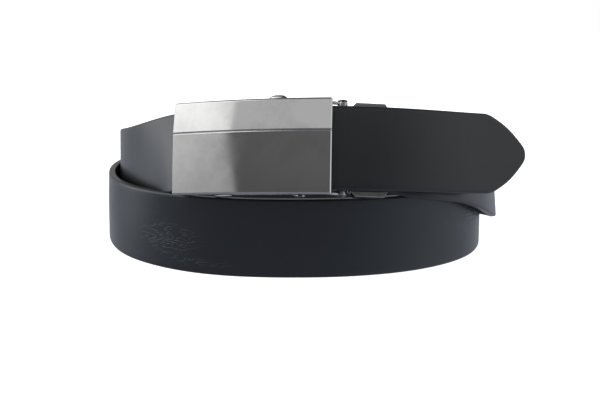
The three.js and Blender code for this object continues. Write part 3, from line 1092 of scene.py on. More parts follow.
@dataclass
class Strap:
    """One length of leather with rolled edges and a pointed end."""

    MAP = "strap"
    EDGE = "painted_edge"
    INNER = "inner_face"

    buckle: Buckle
    route: Route
    step: float = 1.3
    point_step: float = 0.35
    point_length: float = 20.0
    face_round: float = 1.15
    face_fall: float = 0.85
    back_round: float = 0.9
    back_fall: float = 0.7
    end_round: float = 0.9
    crown: float = 0.12
    swell: float = 0.07
    rest_depth: float = 0.05
    corner_steps: int = 6
    face_steps: int = 20
    back_steps: int = 12
    rounding_share: float = 0.8
    thin_end: float = 0.35
    first_ring: float = 0.02
    mask_slope: float = 1.6
    edge_start: float = 0.5
    inner_end: float = 1.3
    free_of_plate: tuple[float, float] = (40.0, 60.0)
    free_of_clamp: tuple[float, float] = (25.0, 50.0)

    def section(self) -> dict[str, Array]:
        """The section as shares, which any half width and thickness then fills.

        A point's rise is across times the half width less the rounding, plus lean times the
        rounding. Its height is side times the half thickness less the fall, plus lift times the
        fall.

        Returns:
            across, lean, side and lift of each point, counter-clockwise.
        """
        quarter = np.linspace(0, math.pi / 2, self.corner_steps + 1)
        front = np.linspace(1, -1, self.face_steps + 1)[1:-1]
        back = -np.linspace(1, -1, self.back_steps + 1)[1:-1]
        ones, face, lining = np.ones(len(quarter)), np.ones(len(front)), np.ones(len(back))
        across = [ones, ones, front, -ones, -ones, back]
        lean = [np.sin(quarter), np.cos(quarter), 0 * front, -np.sin(quarter), -np.cos(quarter), 0 * back]
        side = [-ones, ones, face, ones, -ones, -lining]
        lift = [-np.cos(quarter), np.sin(quarter), face, np.cos(quarter), -np.sin(quarter), -lining]
        names = ("across", "lean", "side", "lift")
        return dict(zip(names, (np.concatenate(part) for part in (across, lean, side, lift))))

    def runs(self) -> Array:
        """Places of the rings: even along the strap, closer at the point and at both ends.

        Returns:
            The distances along the strap, rising.
        """
        quarter = np.linspace(0, math.pi / 2, self.corner_steps)[:-1]
        start = self.end_round * (1 - np.cos(quarter))
        plain = self.route.length - self.point_length
        even = np.linspace(self.end_round, plain, round(plain / self.step))
        stop = self.route.length - self.end_round
        point = np.linspace(plain, stop, round(self.point_length / self.point_step))[1:]
        end = self.route.length - start[::-1]
        return np.concatenate([start, even, point, end])

    def build(self, finish: bpy.types.Material) -> bpy.types.Object:
        """Makes the strap and dresses it.

        Args:
            finish: its leather.

        Returns:
            The piece.
        """
        shares, runs = self.section(), self.runs()
        from_tip = np.clip((self.route.length - runs) / self.point_length, 0, 1)
        distance, half = np.array(POINT_ROWS).T
        outline = Spline(distance, half[:, None]).at(from_tip)[0][:, 0]
        half = self.buckle.half_strap * np.minimum(outline, 1)
        near = np.minimum(runs, self.route.length - runs) / self.end_round
        closing = np.sqrt(1 - (1 - np.clip(near, self.first_ring, 1)) ** 2)
        half = (half - self.end_round * (1 - closing))[:, None]
        thinning = self.thin_end + (1 - self.thin_end) * closing
        thick = (self.buckle.half_leather * thinning)[:, None]

        front = shares["side"] > 0
        size = np.where(front, self.face_round, self.back_round)
        fall = np.where(front, self.face_fall, self.back_fall)
        size = np.minimum(size, self.rounding_share * half)
        fall = np.minimum(fall, self.rounding_share * thick)
        rise = shares["across"] * (half - size) + shares["lean"] * size
        out = shares["side"] * (thick - fall) + shares["lift"] * fall
        bulge = self.crown * (rise / self.buckle.half_strap) ** 2
        wave = self.waves(runs[:, None], rise)
        out = out - np.where(front, bulge, 0) + wave
        rings = self.route.stand(runs, rise, out)
        rings[..., 2] = np.where(rings[..., 2] < self.rest_depth, 0, rings[..., 2])

        piece = make_piece("leather_strap", [tube(rings)])
        self.add_map(piece.data, runs, rise, out, len(runs))
        leaning = np.abs(shares["lean"]) * self.mask_slope
        edge = np.clip(leaning - self.edge_start, 0, 1)
        self.add_mask(piece.data, self.EDGE, edge, len(runs))
        inner = np.where(front, 0.0, np.clip(self.inner_end - leaning, 0, 1))
        self.add_mask(piece.data, self.INNER, inner, len(runs))
        settle(piece, Body.BELT, Slot.LEATHER, finish, "strap")
        return piece

    def waves(self, runs: Array, rise: Array) -> Array:
        """Slow swells of the leather, none of them inside the buckle or the clamp.

        Each is a sine of run and rise times a slower sine of the run, and they are added together.

        Args:
            runs: n by 1 places along the strap.
            rise: n by m heights across it.

        Returns:
            n by m heights that both faces are moved by.
        """
        middle = np.abs(runs - self.route.middle)
        free = ramp(middle, *self.free_of_plate) * ramp(runs, *self.free_of_clamp)
        total = np.zeros_like(rise)
        for swell in SWELLS:
            fast = np.sin(runs / swell.length + swell.across * rise + swell.start)
            total += swell.share * fast * np.sin(runs / swell.slow_length + swell.slow_start)
        return self.swell * free * total

    def add_map(self, mesh: bpy.types.Mesh, runs: Array, rise: Array, out: Array, rows: int) -> None:
        """Writes the strap's map in metres.

        One side of the map is the run. The other is the distance round the section from the front
        face's middle line, positive upwards.

        Args:
            mesh: the strap's mesh.
            runs: place of each ring.
            rise: rings by points, heights along up.
            out: rings by points, heights along out.
            rows: how many rings.
        """
        section = np.stack([rise[rows // 2], out[rows // 2]], axis=-1)
        gaps = np.linalg.norm(np.roll(section, -1, axis=0) - section, axis=1)
        front_middle = int(np.argmin(np.abs(section[:, 0]) + np.where(section[:, 1] > 0, 0, np.inf)))
        round_it = np.concatenate([[0], np.cumsum(gaps)])
        height = round_it[front_middle] - round_it
        columns = len(section)
        row, column = np.meshgrid(np.arange(rows - 1), np.arange(columns), indexing="ij")
        corners = [(row, column), (row, column + 1), (row + 1, column + 1), (row + 1, column)]
        quads = np.stack([np.stack([runs[r], height[c]], axis=-1) for r, c in corners], axis=2)
        caps = [np.stack([np.full(columns, run), height[:-1]], axis=-1) for run in (runs[0], runs[-1])]
        flat = np.concatenate([quads.reshape(-1, 2), caps[0][::-1], caps[1]]) * MM
        mesh.uv_layers.new(name=self.MAP).data.foreach_set("uv", flat.astype(np.float32).ravel())

    def add_mask(self, mesh: bpy.types.Mesh, name: str, around: Array, rows: int) -> None:
        """Writes a number for each point of the section, the same in every ring."""
        mask = mesh.attributes.new(name, "FLOAT", "POINT")
        mask.data.foreach_set("value", np.tile(around, rows).astype(np.float32))


@dataclass
class RatchetTrack:
    """The strip of saw teeth on the inner face of the strap's free end."""

    buckle: Buckle
    route: Route
    width: float = 11.0
    pitch: float = 6.4
    depth: float = 0.9
    drop: float = 0.4
    count: int = 30
    past_pawl: int = 2
    tip: float = 0.12
    stations: tuple[float, ...] = (1.5, 3.0, 4.5)
    rounding: float = 0.25
    root_rounding: float = 0.1
    corner_steps: int = 3
    corner_tuck: float = 0.02

    def build(self, finish: bpy.types.Material) -> bpy.types.Object:
        """Makes the track and dresses it.

        A tooth's back falls away evenly and then rises at once, so its height is a saw wave of
        the run, drawn here by its own corners for each tooth.

        Args:
            finish: its nylon.

        Returns:
            The piece.
        """
        first = self.route.middle + self.buckle.lever_run - (self.count - self.past_pawl) * self.pitch
        end = self.pitch - self.drop
        saw_runs = np.array([0.0, self.tip, *self.stations, end - self.tip, end])
        saw_backs = saw_runs * self.depth / end
        saw_backs[0] = self.tip / 2
        saw_backs[-1] = saw_backs[-2]
        teeth = np.arange(self.count)[:, None] * self.pitch + first
        runs = (teeth + saw_runs).ravel()
        backs = np.tile(self.buckle.track_back + saw_backs, self.count)

        front = self.buckle.track_front
        half = self.width / 2
        unit_corners = np.array([(half, 0.0), (half, 1.0), (-half, 1.0), (-half, 0.0)])
        sizes = (self.rounding, self.root_rounding, self.root_rounding, self.rounding)
        section = rounded(unit_corners, sizes, self.corner_steps, self.corner_tuck)
        rise = np.broadcast_to(section[:, 0], (len(runs), len(section)))
        out = backs[:, None] + (front - backs[:, None]) * section[:, 1]
        rings = self.route.stand(runs, rise, out)
        piece = make_piece("saw_tooth_track", [tube(rings)])
        settle(piece, Body.BELT, Slot.TRACK, finish, "ratchet_track")
        return piece


@dataclass
class FacePlate:
    """The bowed plate: two facets that meet in a grooved crease, with a fine bevel all round."""

    buckle: Buckle
    width: float = 69.0
    height: float = 40.0
    edge: float = 2.2
    bevel: float = 0.7
    end_bevel: float = 0.45
    crease_share: float = 0.34
    crease_rise: float = 0.9
    crease_width: float = 0.8
    crease_depth: float = 0.4
    roundings: tuple[float, ...] = (0.2, 0.2, 0.14, 0.12, 0.1, 0.12, 0.16, 0.12, 0.14)

    def build(self, finish: bpy.types.Material) -> bpy.types.Object:
        """Makes the plate and dresses it.

        Args:
            finish: its plating.

        Returns:
            The piece.
        """
        half = self.height / 2
        crease = half - self.crease_share * self.height
        back = self.buckle.plate_back
        front = back + self.edge
        ridge, groove = front + self.crease_rise, self.crease_width / 2
        corners = [
            (-half, back),
            (half, back),
            (half, front - self.bevel),
            (half - self.bevel, front),
            (crease + groove, ridge),
            (crease, ridge - self.crease_depth),
            (crease - groove, ridge),
            (self.bevel - half, front),
            (-half, front - self.bevel),
        ]
        sizes, end = np.array(self.roundings), self.width / 2
        plate = self.buckle.bar(np.array(corners), sizes, -end, end, self.end_bevel)
        piece = make_piece("face_plate", [moved(plate, self.buckle.place)])
        settle(piece, Body.BELT, Slot.PLATE, finish, "buckle_body")
        return piece


def ear(root: Array, pin: Array, radius: float) -> Array:
    """An outline that runs from a root to a round boss about a pin behind it.

    Args:
        root: the two corners where the ear leaves the wall, first the one on the low side.
        pin: the boss's middle.
        radius: the boss's radius.

    Returns:
        The closed outline as along and front.
    """
    turns = np.linspace(math.pi, 2 * math.pi, BOSS_STEPS)
    boss = pin + radius * np.stack([np.cos(turns), np.sin(turns)], axis=-1)
    return np.concatenate([root[:1], boss, root[1:]])


def block(half: float, back: float, front: float) -> Array:
    """Corners of a rectangle as along and front.

    Args:
        half: half its size along.
        back: where it starts.
        front: where it ends.

    Returns:
        The four corners, counter-clockwise.
    """
    return np.array([(-half, back), (half, back), (half, front), (-half, front)])


def round_barrel(radius: float, low: float, high: float, size: float) -> Shell:
    """A round barrel with rounded rims.

    Args:
        radius: its radius.
        low: height of its lower end.
        high: height of its upper end.
        size: rounding of its rims.

    Returns:
        The shell, about the up axis.
    """
    inside = radius - 2 * size
    corners = np.array([(inside, low), (radius, low), (radius, high), (inside, high)])
    return turned(rounded(corners, size, closed=False))


@dataclass
class BuckleFrame:
    """What stands behind the plate: two walls with their ears, and the rear bridge."""

    buckle: Buckle
    plate_width: float = 69.0
    wall_inset: float = 5.0
    wall_depth: float = 4.2
    wall_foot: float = 1.1
    bridge_run: float = -14.5
    bridge_width: float = 7.0
    bridge_thickness: float = 2.0
    barrel_radius: float = 2.1
    barrel_height: float = 3.1
    barrel_rise: float = 0.2
    barrel_round: float = 0.75
    knuckle_radius: float = 2.1
    rounding: float = 0.22

    @property
    def barrel_top(self) -> float:
        """Height of the clamp hinge's barrels."""
        return self.buckle.wall_outside + self.barrel_rise

    @property
    def bridge_front(self) -> float:
        """Where the bridge starts, behind the track."""
        return self.buckle.track_back - 2 * self.buckle.seat_gap

    def wall(self, low: float, high: float) -> Shell:
        """One wall, along the bow.

        Args:
            low: height of its lower side.
            high: height of its upper side.

        Returns:
            The shell, in the buckle's place.
        """
        back = self.buckle.plate_back - self.wall_depth
        foot = self.buckle.plate_back + self.wall_foot
        end = self.plate_width / 2 - self.wall_inset
        corners = np.array([(low, back), (high, back), (high, foot), (low, foot)])
        return self.buckle.bar(corners, self.rounding, -end, end, self.rounding)

    def lever_ear(self, low: float, high: float) -> Shell:
        """The ear that carries the lever's pin.

        Args:
            low: height of its lower side.
            high: height of its upper side.

        Returns:
            The shell, in the buckle's place.
        """
        pin = np.array([self.buckle.lever_pivot, -self.buckle.lever_depth])
        reach, back = 2 * self.knuckle_radius, self.buckle.plate_back
        root = np.array([[pin[0] - reach, back], [pin[0] + self.knuckle_radius, back]])
        shape = prism(ear(root, pin, self.knuckle_radius), low, high, self.rounding)
        return moved(shape, self.buckle.lever_place())

    def clamp_ear(self, low: float, high: float) -> Shell:
        """The ear that carries the clamp's pin.

        Args:
            low: height of its lower side.
            high: height of its upper side.

        Returns:
            The shell, in the buckle's place.
        """
        pin = self.buckle.clamp_place().origin[[0, 2]]
        end = self.plate_width / 2 - self.wall_inset
        start = end - 2 * self.barrel_radius
        turns = np.linspace(0, math.pi, BOSS_STEPS)
        boss = pin + self.barrel_radius * np.stack([np.cos(turns), -np.sin(turns)], axis=-1)
        back, behind = self.buckle.plate_back - self.wall_depth, -self.buckle.half_leather
        root = np.array([[start, back], [start, behind], [end, behind]])
        return prism(np.concatenate([root, boss]), low, high, self.rounding)

    def barrel(self, low: float, high: float) -> Shell:
        """A round barrel about the clamp's pin, at the outer end of its ear.

        Args:
            low: height of its lower side.
            high: height of its upper side.

        Returns:
            The shell, in the buckle's place.
        """
        shape = round_barrel(self.barrel_radius, low, high, self.barrel_round)
        return moved(shape, Place(np.eye(3), self.buckle.clamp_place().origin))

    def cheek(self, low: float, high: float) -> Shell:
        """The wall's reach back to the bridge.

        Args:
            low: height of its lower side.
            high: height of its upper side.

        Returns:
            The shell, in the buckle's place.
        """
        back = self.bridge_front - self.bridge_thickness
        corners = block(self.bridge_width / 2, back, self.buckle.plate_back)
        shape = prism(rounded(corners, self.rounding), low, high, self.rounding)
        return moved(shape, self.buckle.square_to(self.bridge_run, 0.0))

    def bridge(self) -> Shell:
        """The bar behind the strap that joins the two walls.

        Returns:
            The shell, in the buckle's place.
        """
        back = self.bridge_front - self.bridge_thickness
        corners = block(self.bridge_width / 2, back, self.bridge_front)
        reach = self.buckle.wall_inside + self.buckle.wall_thickness / 2
        shape = prism(rounded(corners, 2 * self.rounding), -reach, reach, self.rounding)
        return moved(shape, self.buckle.square_to(self.bridge_run, 0.0))

    def build(self, finish: bpy.types.Material) -> bpy.types.Object:
        """Makes the frame and dresses it.

        Args:
            finish: its plating.

        Returns:
            The piece.
        """
        shells = [self.bridge()]
        for side in (1, -1):
            low, high = sorted((side * self.buckle.wall_inside, side * self.buckle.wall_outside))
            shells += [part(low, high) for part in (self.wall, self.lever_ear, self.clamp_ear, self.cheek)]
            low, high = sorted((side * (self.barrel_top - self.barrel_height), side * self.barrel_top))
            shells.append(self.barrel(low, high))
        piece = make_piece("buckle_frame", [moved(shell, self.buckle.place) for shell in shells])
        settle(piece, Body.BELT, Slot.FITTINGS, finish, "buckle_body")
        return piece


@dataclass
class HeadedPin:
    """A pin with a low domed head at each end."""

    name: str
    node: str
    radius: float
    reach: float
    head: float
    head_thickness: float = 0.45
    rim_share: float = 0.3
    dome_start: float = 0.04
    dome_steps: int = 8

    def shell(self) -> Shell:
        """The pin about the up axis: its heads are quarter ellipses on short flat rims.

        Returns:
            The shell, about the up axis.
        """
        turns = np.linspace(self.dome_start, math.pi / 2, self.dome_steps)
        rim = self.rim_share * self.head_thickness
        heights = rim + (self.head_thickness - rim) * np.cos(turns)
        dome = np.stack([self.head * np.sin(turns), heights], axis=-1)
        low, high = dome * (1, -1) - (0, self.reach), dome[::-1] + (0, self.reach)
        stem = np.array([(self.radius, -self.reach), (self.radius, self.reach)])
        neck = np.array([(self.head, -self.reach)]), np.array([(self.head, self.reach)])
        return turned(np.concatenate([low, neck[0], stem, neck[1], high]))

    def build(self, place: Place, finish: bpy.types.Material) -> bpy.types.Object:
        """Makes the pin and dresses it.

        Args:
            place: its axis, in the part's place.
            finish: its plating.

        Returns:
            The piece.
        """
        piece = make_piece(self.name, [moved(self.shell(), place)])
        settle(piece, Body.BELT, Slot.FITTINGS, finish, self.node)
        return piece


@dataclass
class StrapClamp:
    """The flat sleeve that holds the strap's cut end, with two lugs on the hinge pin."""

    buckle: Buckle
    start: float = 3.3
    length: float = 19.0
    seat: float = 1.1
    wall: float = 1.3
    rim: float = 2.0
    corner: float = 2.2
    lug_thickness: float = 1.6
    pin_radius: float = 1.25
    turning_gap: float = 0.3
    channel_drop: float = 0.35
    rounding: float = 0.3
    barrel_clear: float = 16.5
    inner_cut: float = 0.5
    cut_rounding: float = 0.05
    loop_steps: int = 3
    tuck: float = 0.03
    boss_steps: int = 28
    under_web: int = 7
    lug_rounding: float = 0.2

    def sleeve(self) -> Shell:
        """The sleeve as one skin that goes over the outside and back through the inside.

        A point has a place round the section and one along the skin's loop, which runs out from
        start to length on the outer rectangle and back on the inner one. The outer one's top and
        bottom start later and end sooner by the corner's cut.

        Returns:
            The shell, in the clamp's place, closed on itself.
        """
        slack = self.buckle.seat_gap
        half_inside = self.buckle.half_strap + slack
        deep_inside = self.buckle.half_leather + slack
        inner = self.rectangle(half_inside, deep_inside, self.rounding)
        outer = self.rectangle(half_inside + self.rim, deep_inside + self.wall, 2 * self.rounding)
        soft = self.rounding / 2
        loop = np.array([(self.start, 0), (self.start, 1), (self.length, 1), (self.length, 0)], float)
        loop = rounded(loop, soft, self.loop_steps, self.tuck)
        share = loop[:, 1, None, None]
        flat = inner + (outer - inner) * np.clip(share, 0, 1)
        over = np.clip(np.abs(flat[..., 0]) - (half_inside + self.rim - self.corner), 0, None)
        middle = (self.start + self.length) / 2
        runs = np.broadcast_to(loop[:, 0, None], over.shape)
        runs = np.where(runs < middle, runs + over, runs - self.inner_cut * over)
        rings = np.stack([runs, flat[..., 0] - self.channel_drop, flat[..., 1] - self.seat], axis=-1)
        rows, columns = rings.shape[:2]
        quads = grid_quads(rows + 1, columns) % (rows * columns)
        return Shell(rings.reshape(-1, 3), quads[:, ::-1])

    def rectangle(self, half: float, deep: float, size: float) -> Array:
        """A rounded rectangle of rise and out, with extra points where the corner cuts start.

        Args:
            half: half its size along rise.
            deep: half its size along out.
            size: rounding of its corners.

        Returns:
            The outline, counter-clockwise.
        """
        cut = half - self.corner
        corners = [(cut, -deep), (half, -deep), (half, deep), (cut, deep), (-cut, deep), (-half, deep)]
        corners += [(-half, -deep), (-cut, -deep)]
        sizes = np.tile([self.cut_rounding, size, size, self.cut_rounding], 2)
        return rounded(np.array(corners), sizes, tuck=self.tuck)

    def lug(self, low: float, high: float) -> Shell:
        """One lug: a boss about the pin and a web back to the sleeve.

        Args:
            low: height of its lower side.
            high: height of its upper side.

        Returns:
            The shell, in the clamp's place.
        """
        radius = self.pin_radius + self.turning_gap + self.wall / 2
        back = -self.seat - self.buckle.half_leather - self.buckle.seat_gap
        turns = np.linspace(-0.5 * math.pi, math.pi, self.boss_steps) + math.pi / 2
        boss = radius * np.stack([np.cos(turns), np.sin(turns)], axis=-1)
        web = np.array([(-radius, back - self.wall), (self.start + self.wall, back - self.wall)])
        web = np.concatenate([web, np.array([(self.start + self.wall, back), (radius, back)])])
        outline = np.concatenate([boss[: -self.under_web], web])
        return prism(outline, low, high, self.lug_rounding)

    def build(self, finish: bpy.types.Material) -> bpy.types.Object:
        """Makes the clamp and dresses it.

        Args:
            finish: its plating.

        Returns:
            The piece.
        """
        top = self.barrel_clear
        lugs = [self.lug(*sorted((side * (top - self.lug_thickness), side * top))) for side in (1, -1)]
        place = self.buckle.clamp_place().within(self.buckle.place)
        piece = make_piece("strap_clamp_sleeve", [moved(shell, place) for shell in [self.sleeve(), *lugs]])
        settle(piece, Body.BELT, Slot.FITTINGS, finish, "strap_clamp")
        return piece


@dataclass
class ReleaseLever:
    """Pawl, arm and thumb tab in one piece, which turns on the lever pin."""

    buckle: Buckle
    barrel_top: float
    arm_thickness: float = 1.5
    pawl_height: float = 14.0
    pawl_reach: float = 6.2
    tooth_depth: float = 0.9
    turning_gap: float = 0.3
    knuckle_radius: float = 2.1
    neck_width: float = 8.0
    tab_width: float = 8.6
    tab_height: float = 3.6
    tab_depth: float = 4.2
    tab_aside: float = 1.0
    rounding: float = 0.18
    tab_sides: int = 40
    tab_power: float = 0.5
    tab_foot: float = 0.25
    foot_inset: float = 0.0625
    foot_steps: int = 4
    cheek_share: float = 0.3
    dome_share: float = 0.97
    dome_power: float = 0.75
    dome_steps: int = 9

    def arm(self) -> Shell:
        """The arm with the pawl's tooth at its end.

        Returns:
            The shell, in the lever's place.
        """
        crest = self.buckle.track_back - self.turning_gap
        back = -self.buckle.lever_depth - self.arm_thickness / 2
        pivot = self.buckle.lever_pivot
        corners = [
            (-self.pawl_reach, crest),
            (-self.turning_gap, crest + self.tooth_depth - self.turning_gap),
            (-self.turning_gap, crest - self.arm_thickness / 2),
            (pivot, back + self.arm_thickness),
            (pivot, back),
            (-self.pawl_reach, back),
        ]
        outline = rounded(np.array(corners), self.rounding)
        return prism(outline, -self.pawl_height / 2, self.pawl_height / 2, self.rounding)

    def knuckle(self) -> Shell:
        """The knuckle about the pin.

        Returns:
            The shell, in the lever's place.
        """
        half = self.pawl_height / 2
        shape = round_barrel(self.knuckle_radius, -half, half, self.rounding)
        origin = np.array([self.buckle.lever_pivot, 0, -self.buckle.lever_depth])
        return moved(shape, Place(np.eye(3), origin))

    def neck(self) -> Shell:
        """The flat neck from the arm up to the tab.

        Returns:
            The shell, in the lever's place.
        """
        back = -self.buckle.lever_depth - self.arm_thickness / 2
        corners = block(self.neck_width / 2, back, back + self.arm_thickness) - (self.tab_aside, 0)
        top = self.barrel_top + self.tab_height / 2
        return prism(rounded(corners, self.rounding), 0.0, top, self.rounding)

    def tab(self) -> Shell:
        """The thumb tab: a pad with soft sides and a domed top.

        Its section is a superellipse of the fourth power. Its half sizes grow over a rounded
        foot and then close over the top as a flat dome.

        Returns:
            The shell, in the lever's place.
        """
        turns = np.arange(self.tab_sides) * 2 * math.pi / self.tab_sides
        along = np.sign(np.cos(turns)) * np.abs(np.cos(turns)) ** self.tab_power
        front = np.sign(np.sin(turns)) * np.abs(np.sin(turns)) ** self.tab_power
        cheek = self.cheek_share * self.tab_height
        low = np.linspace(0, math.pi / 2, self.foot_steps)
        dome = np.linspace(0, math.pi / 2 * self.dome_share, self.dome_steps)
        foot_share = 1 - self.foot_inset * (1 - np.sin(low))
        share = np.concatenate([foot_share, np.cos(dome) ** self.dome_power])
        foot_rise = self.tab_foot * (1 - np.cos(low))
        rise = np.concatenate([foot_rise, cheek + (self.tab_height - cheek) * np.sin(dome)])
        half, deep = self.tab_width / 2, self.tab_depth / 2
        x = share[:, None] * along * half - self.tab_aside
        z = share[:, None] * front * deep - self.buckle.lever_depth + self.arm_thickness / 2
        y = np.broadcast_to(rise[:, None] + self.barrel_top, x.shape)
        return tube(np.stack([x, y, z], axis=-1)[:, ::-1])

    def build(self, finish: bpy.types.Material) -> bpy.types.Object:
        """Makes the lever and dresses it.

        Args:
            finish: its plating.

        Returns:
            The piece.
        """
        place = self.buckle.lever_place().within(self.buckle.place)
        shells = [self.arm(), self.knuckle(), self.neck(), self.tab()]
        piece = make_piece("thumb_lever", [moved(shell, place) for shell in shells])
        settle(piece, Body.LEVER, Slot.FITTINGS, finish, "release_lever")
        return piece


@dataclass(frozen=True)
class Camera:
    """The photograph's viewpoint, found by fitting the strap's edges to the ring."""

    aside: float = 0.15
    forward: float = 386.0
    height: float = 112.9
    pitch: float = math.radians(14.56)
    lens: float = 44.0
    sensor: float = 36.0
    near: float = 0.01
    far: float = 20.0

    def build(self, buckle: Buckle) -> None:
        """Makes the camera and sets it as the scene's own.

        Args:
            buckle: what knows where the ring stands.
        """
        data = bpy.data.cameras.new("camera")
        data.lens, data.sensor_width = self.lens, self.sensor
        data.clip_start, data.clip_end = self.near, self.far
        camera = bpy.data.objects.new("camera", data)
        camera.location = (np.array([self.aside, -self.forward, self.height]) + buckle.shift) * MM
        camera.rotation_euler = (math.pi / 2 - self.pitch, 0.0, 0.0)
        bpy.context.scene.collection.objects.link(camera)
        bpy.context.scene.camera = camera


@dataclass(frozen=True)
class Studio:
    """A white room with a big soft light on the left, one overhead and a pale wall all round.

    Bearings are in degrees from the front, positive to the right. Heights are above the horizon.
    """

    left_middle: tuple[float, float] = (75.0, 60.0)
    left_spread: tuple[float, float] = (28.0, 27.0)
    left_light: float = 3.05
    left_edge_low: tuple[float, float] = (15.0, 38.0)
    left_edge_high: tuple[float, float] = (26.0, 45.5)
    left_blur: float = 2.0
    side_middle: tuple[float, float] = (95.0, 9.0)
    side_spread: tuple[float, float] = (11.0, 11.0)
    side_light: float = 2.9
    zenith: tuple[float, float, float] = (60.0, 80.0, 0.12)
    dark: tuple[float, float] = (0.11, 0.15)
    dark_heights: tuple[float, float] = (17.0, 25.0)
    overhead: float = 0.47
    overhead_start: tuple[float, float] = (30.0, 34.5)
    overhead_end: tuple[float, float] = (42.0, 49.0)
    right: float = 0.85
    right_edge: tuple[float, float] = (26.0, 74.0)
    back: float = 0.5
    back_edge: tuple[float, float] = (85.0, 150.0)
    high_end: tuple[float, float] = (25.0, 50.0)
    ground: float = 0.26
    ground_left: tuple[float, float, float] = (30.0, 110.0, 0.22)
    ground_right: tuple[float, float, float] = (5.0, 70.0, 0.6)
    horizon: tuple[float, float] = (-6.0, 4.0)
    warm: tuple = colour(1.0, 0.995, 0.985)
    cool: tuple = colour(0.91, 0.97, 1.09)
    backdrop: float = 1.0
    floor_glow: float = 1.0
    floor_colour: tuple = colour(0.86, 0.86, 0.86)
    floor_size: float = 6.0
    floor_roughness: float = 0.9

    def build(self) -> None:
        """Makes the room's light and the floor."""
        world = bpy.data.worlds.new("studio")
        world.use_nodes = True
        bpy.context.scene.world = world
        graph = Graph(world.node_tree)
        light = graph.add("ShaderNodeBackground", self.light(graph))
        plain = graph.add("ShaderNodeBackground", {"Color": colour(1, 1, 1), "Strength": self.backdrop})
        seen = graph.add("ShaderNodeLightPath").outputs["Is Camera Ray"]
        mixed = graph.add("ShaderNodeMixShader", {0: seen, 1: light.outputs[0], 2: plain.outputs[0]})
        graph.add("ShaderNodeOutputWorld", {"Surface": mixed.outputs[0]})
        self.floor()
        bpy.context.scene.view_settings.view_transform = "Standard"

    def light(self, graph: Graph) -> dict[str, Socket]:
        """Colour and brightness of the room in each direction.

        The bearing is the arctangent of the direction's sides and the height the arcsine of its
        upright part. The left light falls away from its middle as a bell curve and stops at an
        edge. The others are products of smooth steps of bearing and height.

        Args:
            graph: the world's graph.

        Returns:
            The background's colour and strength.
        """
        direction = graph.add("ShaderNodeTexCoord").outputs["Generated"]
        x, y, z = graph.add("ShaderNodeSeparateXYZ", {"Vector": direction}).outputs
        bearing = graph.math("DEGREES", graph.math("ARCTAN2", x, graph.math("MULTIPLY", y, -1.0)))
        height = graph.math("DEGREES", graph.math("ARCSINE", z))
        aside = graph.math("ABSOLUTE", bearing)
        to_left = graph.math("MULTIPLY", bearing, -1.0)
        place = (to_left, height)
        left = self.left(graph, place)

        front = graph.step(height, *self.dark_heights, *self.dark)
        front = graph.math("ADD", front, graph.step(height, *self.overhead_start, 0.0, self.overhead))
        front = graph.math("SUBTRACT", front, graph.step(height, *self.overhead_end, 0.0, self.overhead))
        low = graph.step(height, *self.high_end, 1.0, 0.0)
        right = graph.math("MULTIPLY", graph.step(bearing, *self.right_edge), low)
        back = graph.math("MULTIPLY", graph.step(aside, *self.back_edge), low)
        above = graph.blend(right, front, self.right)
        above = graph.math("MAXIMUM", graph.blend(back, above, self.back), left)
        above = graph.blend(graph.step(height, *self.zenith[:2]), above, self.zenith[2])
        side = self.bell(graph, place, self.side_middle, self.side_spread, self.side_light)
        below = graph.blend(graph.step(to_left, *self.ground_left[:2]), self.ground, self.ground_left[2])
        below = graph.blend(graph.step(bearing, *self.ground_right[:2]), below, self.ground_right[2])
        below = graph.blend(back, below, self.back)
        upper = graph.step(height, *self.horizon)
        tone = graph.tint(upper, self.cool, self.warm)
        return {"Color": tone, "Strength": graph.math("ADD", graph.blend(upper, below, above), side)}

    def bell(self, graph: Graph, place: tuple, middle: tuple, spread: tuple, peak: float) -> Socket:
        """A light that falls away from its middle: peak times exp(-(a^2 + b^2) / 2).

        a and b are the distances from the middle in spreads.

        Args:
            graph: the world's graph.
            place: bearing to the left and height of the direction.
            middle: bearing and height of the light's middle.
            spread: its spread along both.
            peak: its brightness in the middle.

        Returns:
            The light's brightness in the direction.
        """
        powers = []
        for value, centre, reach in zip(place, middle, spread):
            away = graph.math("DIVIDE", graph.math("SUBTRACT", value, centre), reach)
            powers.append(graph.math("MULTIPLY", away, away))
        bell = graph.math("EXPONENT", graph.math("MULTIPLY", graph.math("ADD", *powers), -0.5))
        return graph.math("MULTIPLY", bell, peak)

    def left(self, graph: Graph, place: tuple[Socket, Socket]) -> Socket:
        """Brightness of the left light, which stops at a leaning edge.

        Args:
            graph: the world's graph.
            place: bearing to the left and height of the direction.

        Returns:
            The light's brightness in the direction.
        """
        to_left, height = place
        bell = self.bell(graph, place, self.left_middle, self.left_spread, self.left_light)
        (low, low_edge), (high, high_edge) = self.left_edge_low, self.left_edge_high
        past = graph.math("SUBTRACT", to_left, graph.step(height, low, high, low_edge, high_edge))
        return graph.math("MULTIPLY", bell, graph.step(past, -self.left_blur, self.left_blur))

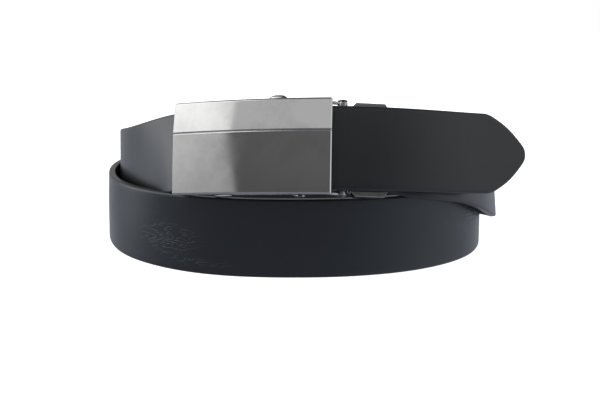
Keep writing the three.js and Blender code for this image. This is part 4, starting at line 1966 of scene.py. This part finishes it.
    def floor(self) -> None:
        """A plain pale floor that glows a little, so that the room stays white."""
        half = self.floor_size / 2
        corners = [(-half, -half, 0), (half, -half, 0), (half, half, 0), (-half, half, 0)]
        mesh = bpy.data.meshes.new("floor")
        mesh.from_pydata(corners, [], [(0, 1, 2, 3)])
        floor = bpy.data.objects.new("floor", mesh)
        bpy.context.scene.collection.objects.link(floor)
        material, graph = new_material("Floor")
        joins = {
            "Base Color": self.floor_colour,
            "Roughness": self.floor_roughness,
            "Emission Color": colour(1, 1, 1),
            "Emission Strength": self.floor_glow,
        }
        close_material(graph, graph.add("ShaderNodeBsdfPrincipled", joins))
        mesh.materials.append(material)
        floor.visible_glossy = floor.visible_diffuse = floor.visible_shadow = False


def main() -> None:
    """Builds the belt piece by piece, then the camera and the room."""
    logging.basicConfig(level=logging.INFO, format="%(message)s")
    buckle = Buckle()
    route = Route(buckle)
    log.info("strap path: %.1f mm, coil moved by %s mm", route.length, np.round(buckle.shift, 4))

    groups = Groups(GrainEffect().build(), MarksEffect().build())
    leather = LeatherFinish().build(groups, route)
    nylon = NylonFinish().build(groups)
    polished = MetalFinish(
        name="Polished gunmetal",
        base=colour(0.62, 0.62, 0.625),
        smeared=colour(0.55, 0.55, 0.555),
        gloss=0.07,
        smeared_gloss=0.13,
        smears=55.0,
        ripple=0.015,
    ).build(groups)
    satin = MetalFinish(
        name="Satin gunmetal",
        base=colour(0.4, 0.4, 0.41),
        smeared=colour(0.32, 0.32, 0.33),
        gloss=0.09,
        smeared_gloss=0.16,
        smears=240.0,
        ripple=0.01,
    ).build(groups)

    Strap(buckle, route).build(leather)
    RatchetTrack(buckle, route).build(nylon)
    FacePlate(buckle).build(polished)
    shell = BuckleFrame(buckle)
    shell.build(satin)
    StrapClamp(buckle).build(satin)
    reach = shell.barrel_top + buckle.seat_gap
    clamp_pin = HeadedPin("clamp_hinge_pin", "clamp_pin", radius=1.25, reach=reach, head=shell.barrel_radius)
    clamp_pin.build(buckle.clamp_place().within(buckle.place), satin)
    ReleaseLever(buckle, shell.barrel_top).build(satin)
    lever = buckle.lever_place()
    axis = Place(lever.axes, lever.of(np.array([buckle.lever_pivot, 0, -buckle.lever_depth])))
    reach = buckle.wall_outside + buckle.seat_gap
    lever_pin = HeadedPin("lever_pivot_pin", "lever_pin", radius=0.9, reach=reach, head=2.2)
    lever_pin.build(axis.within(buckle.place), satin)

    Camera().build(buckle)
    Studio().build()


if __name__ == "__main__":
    main()
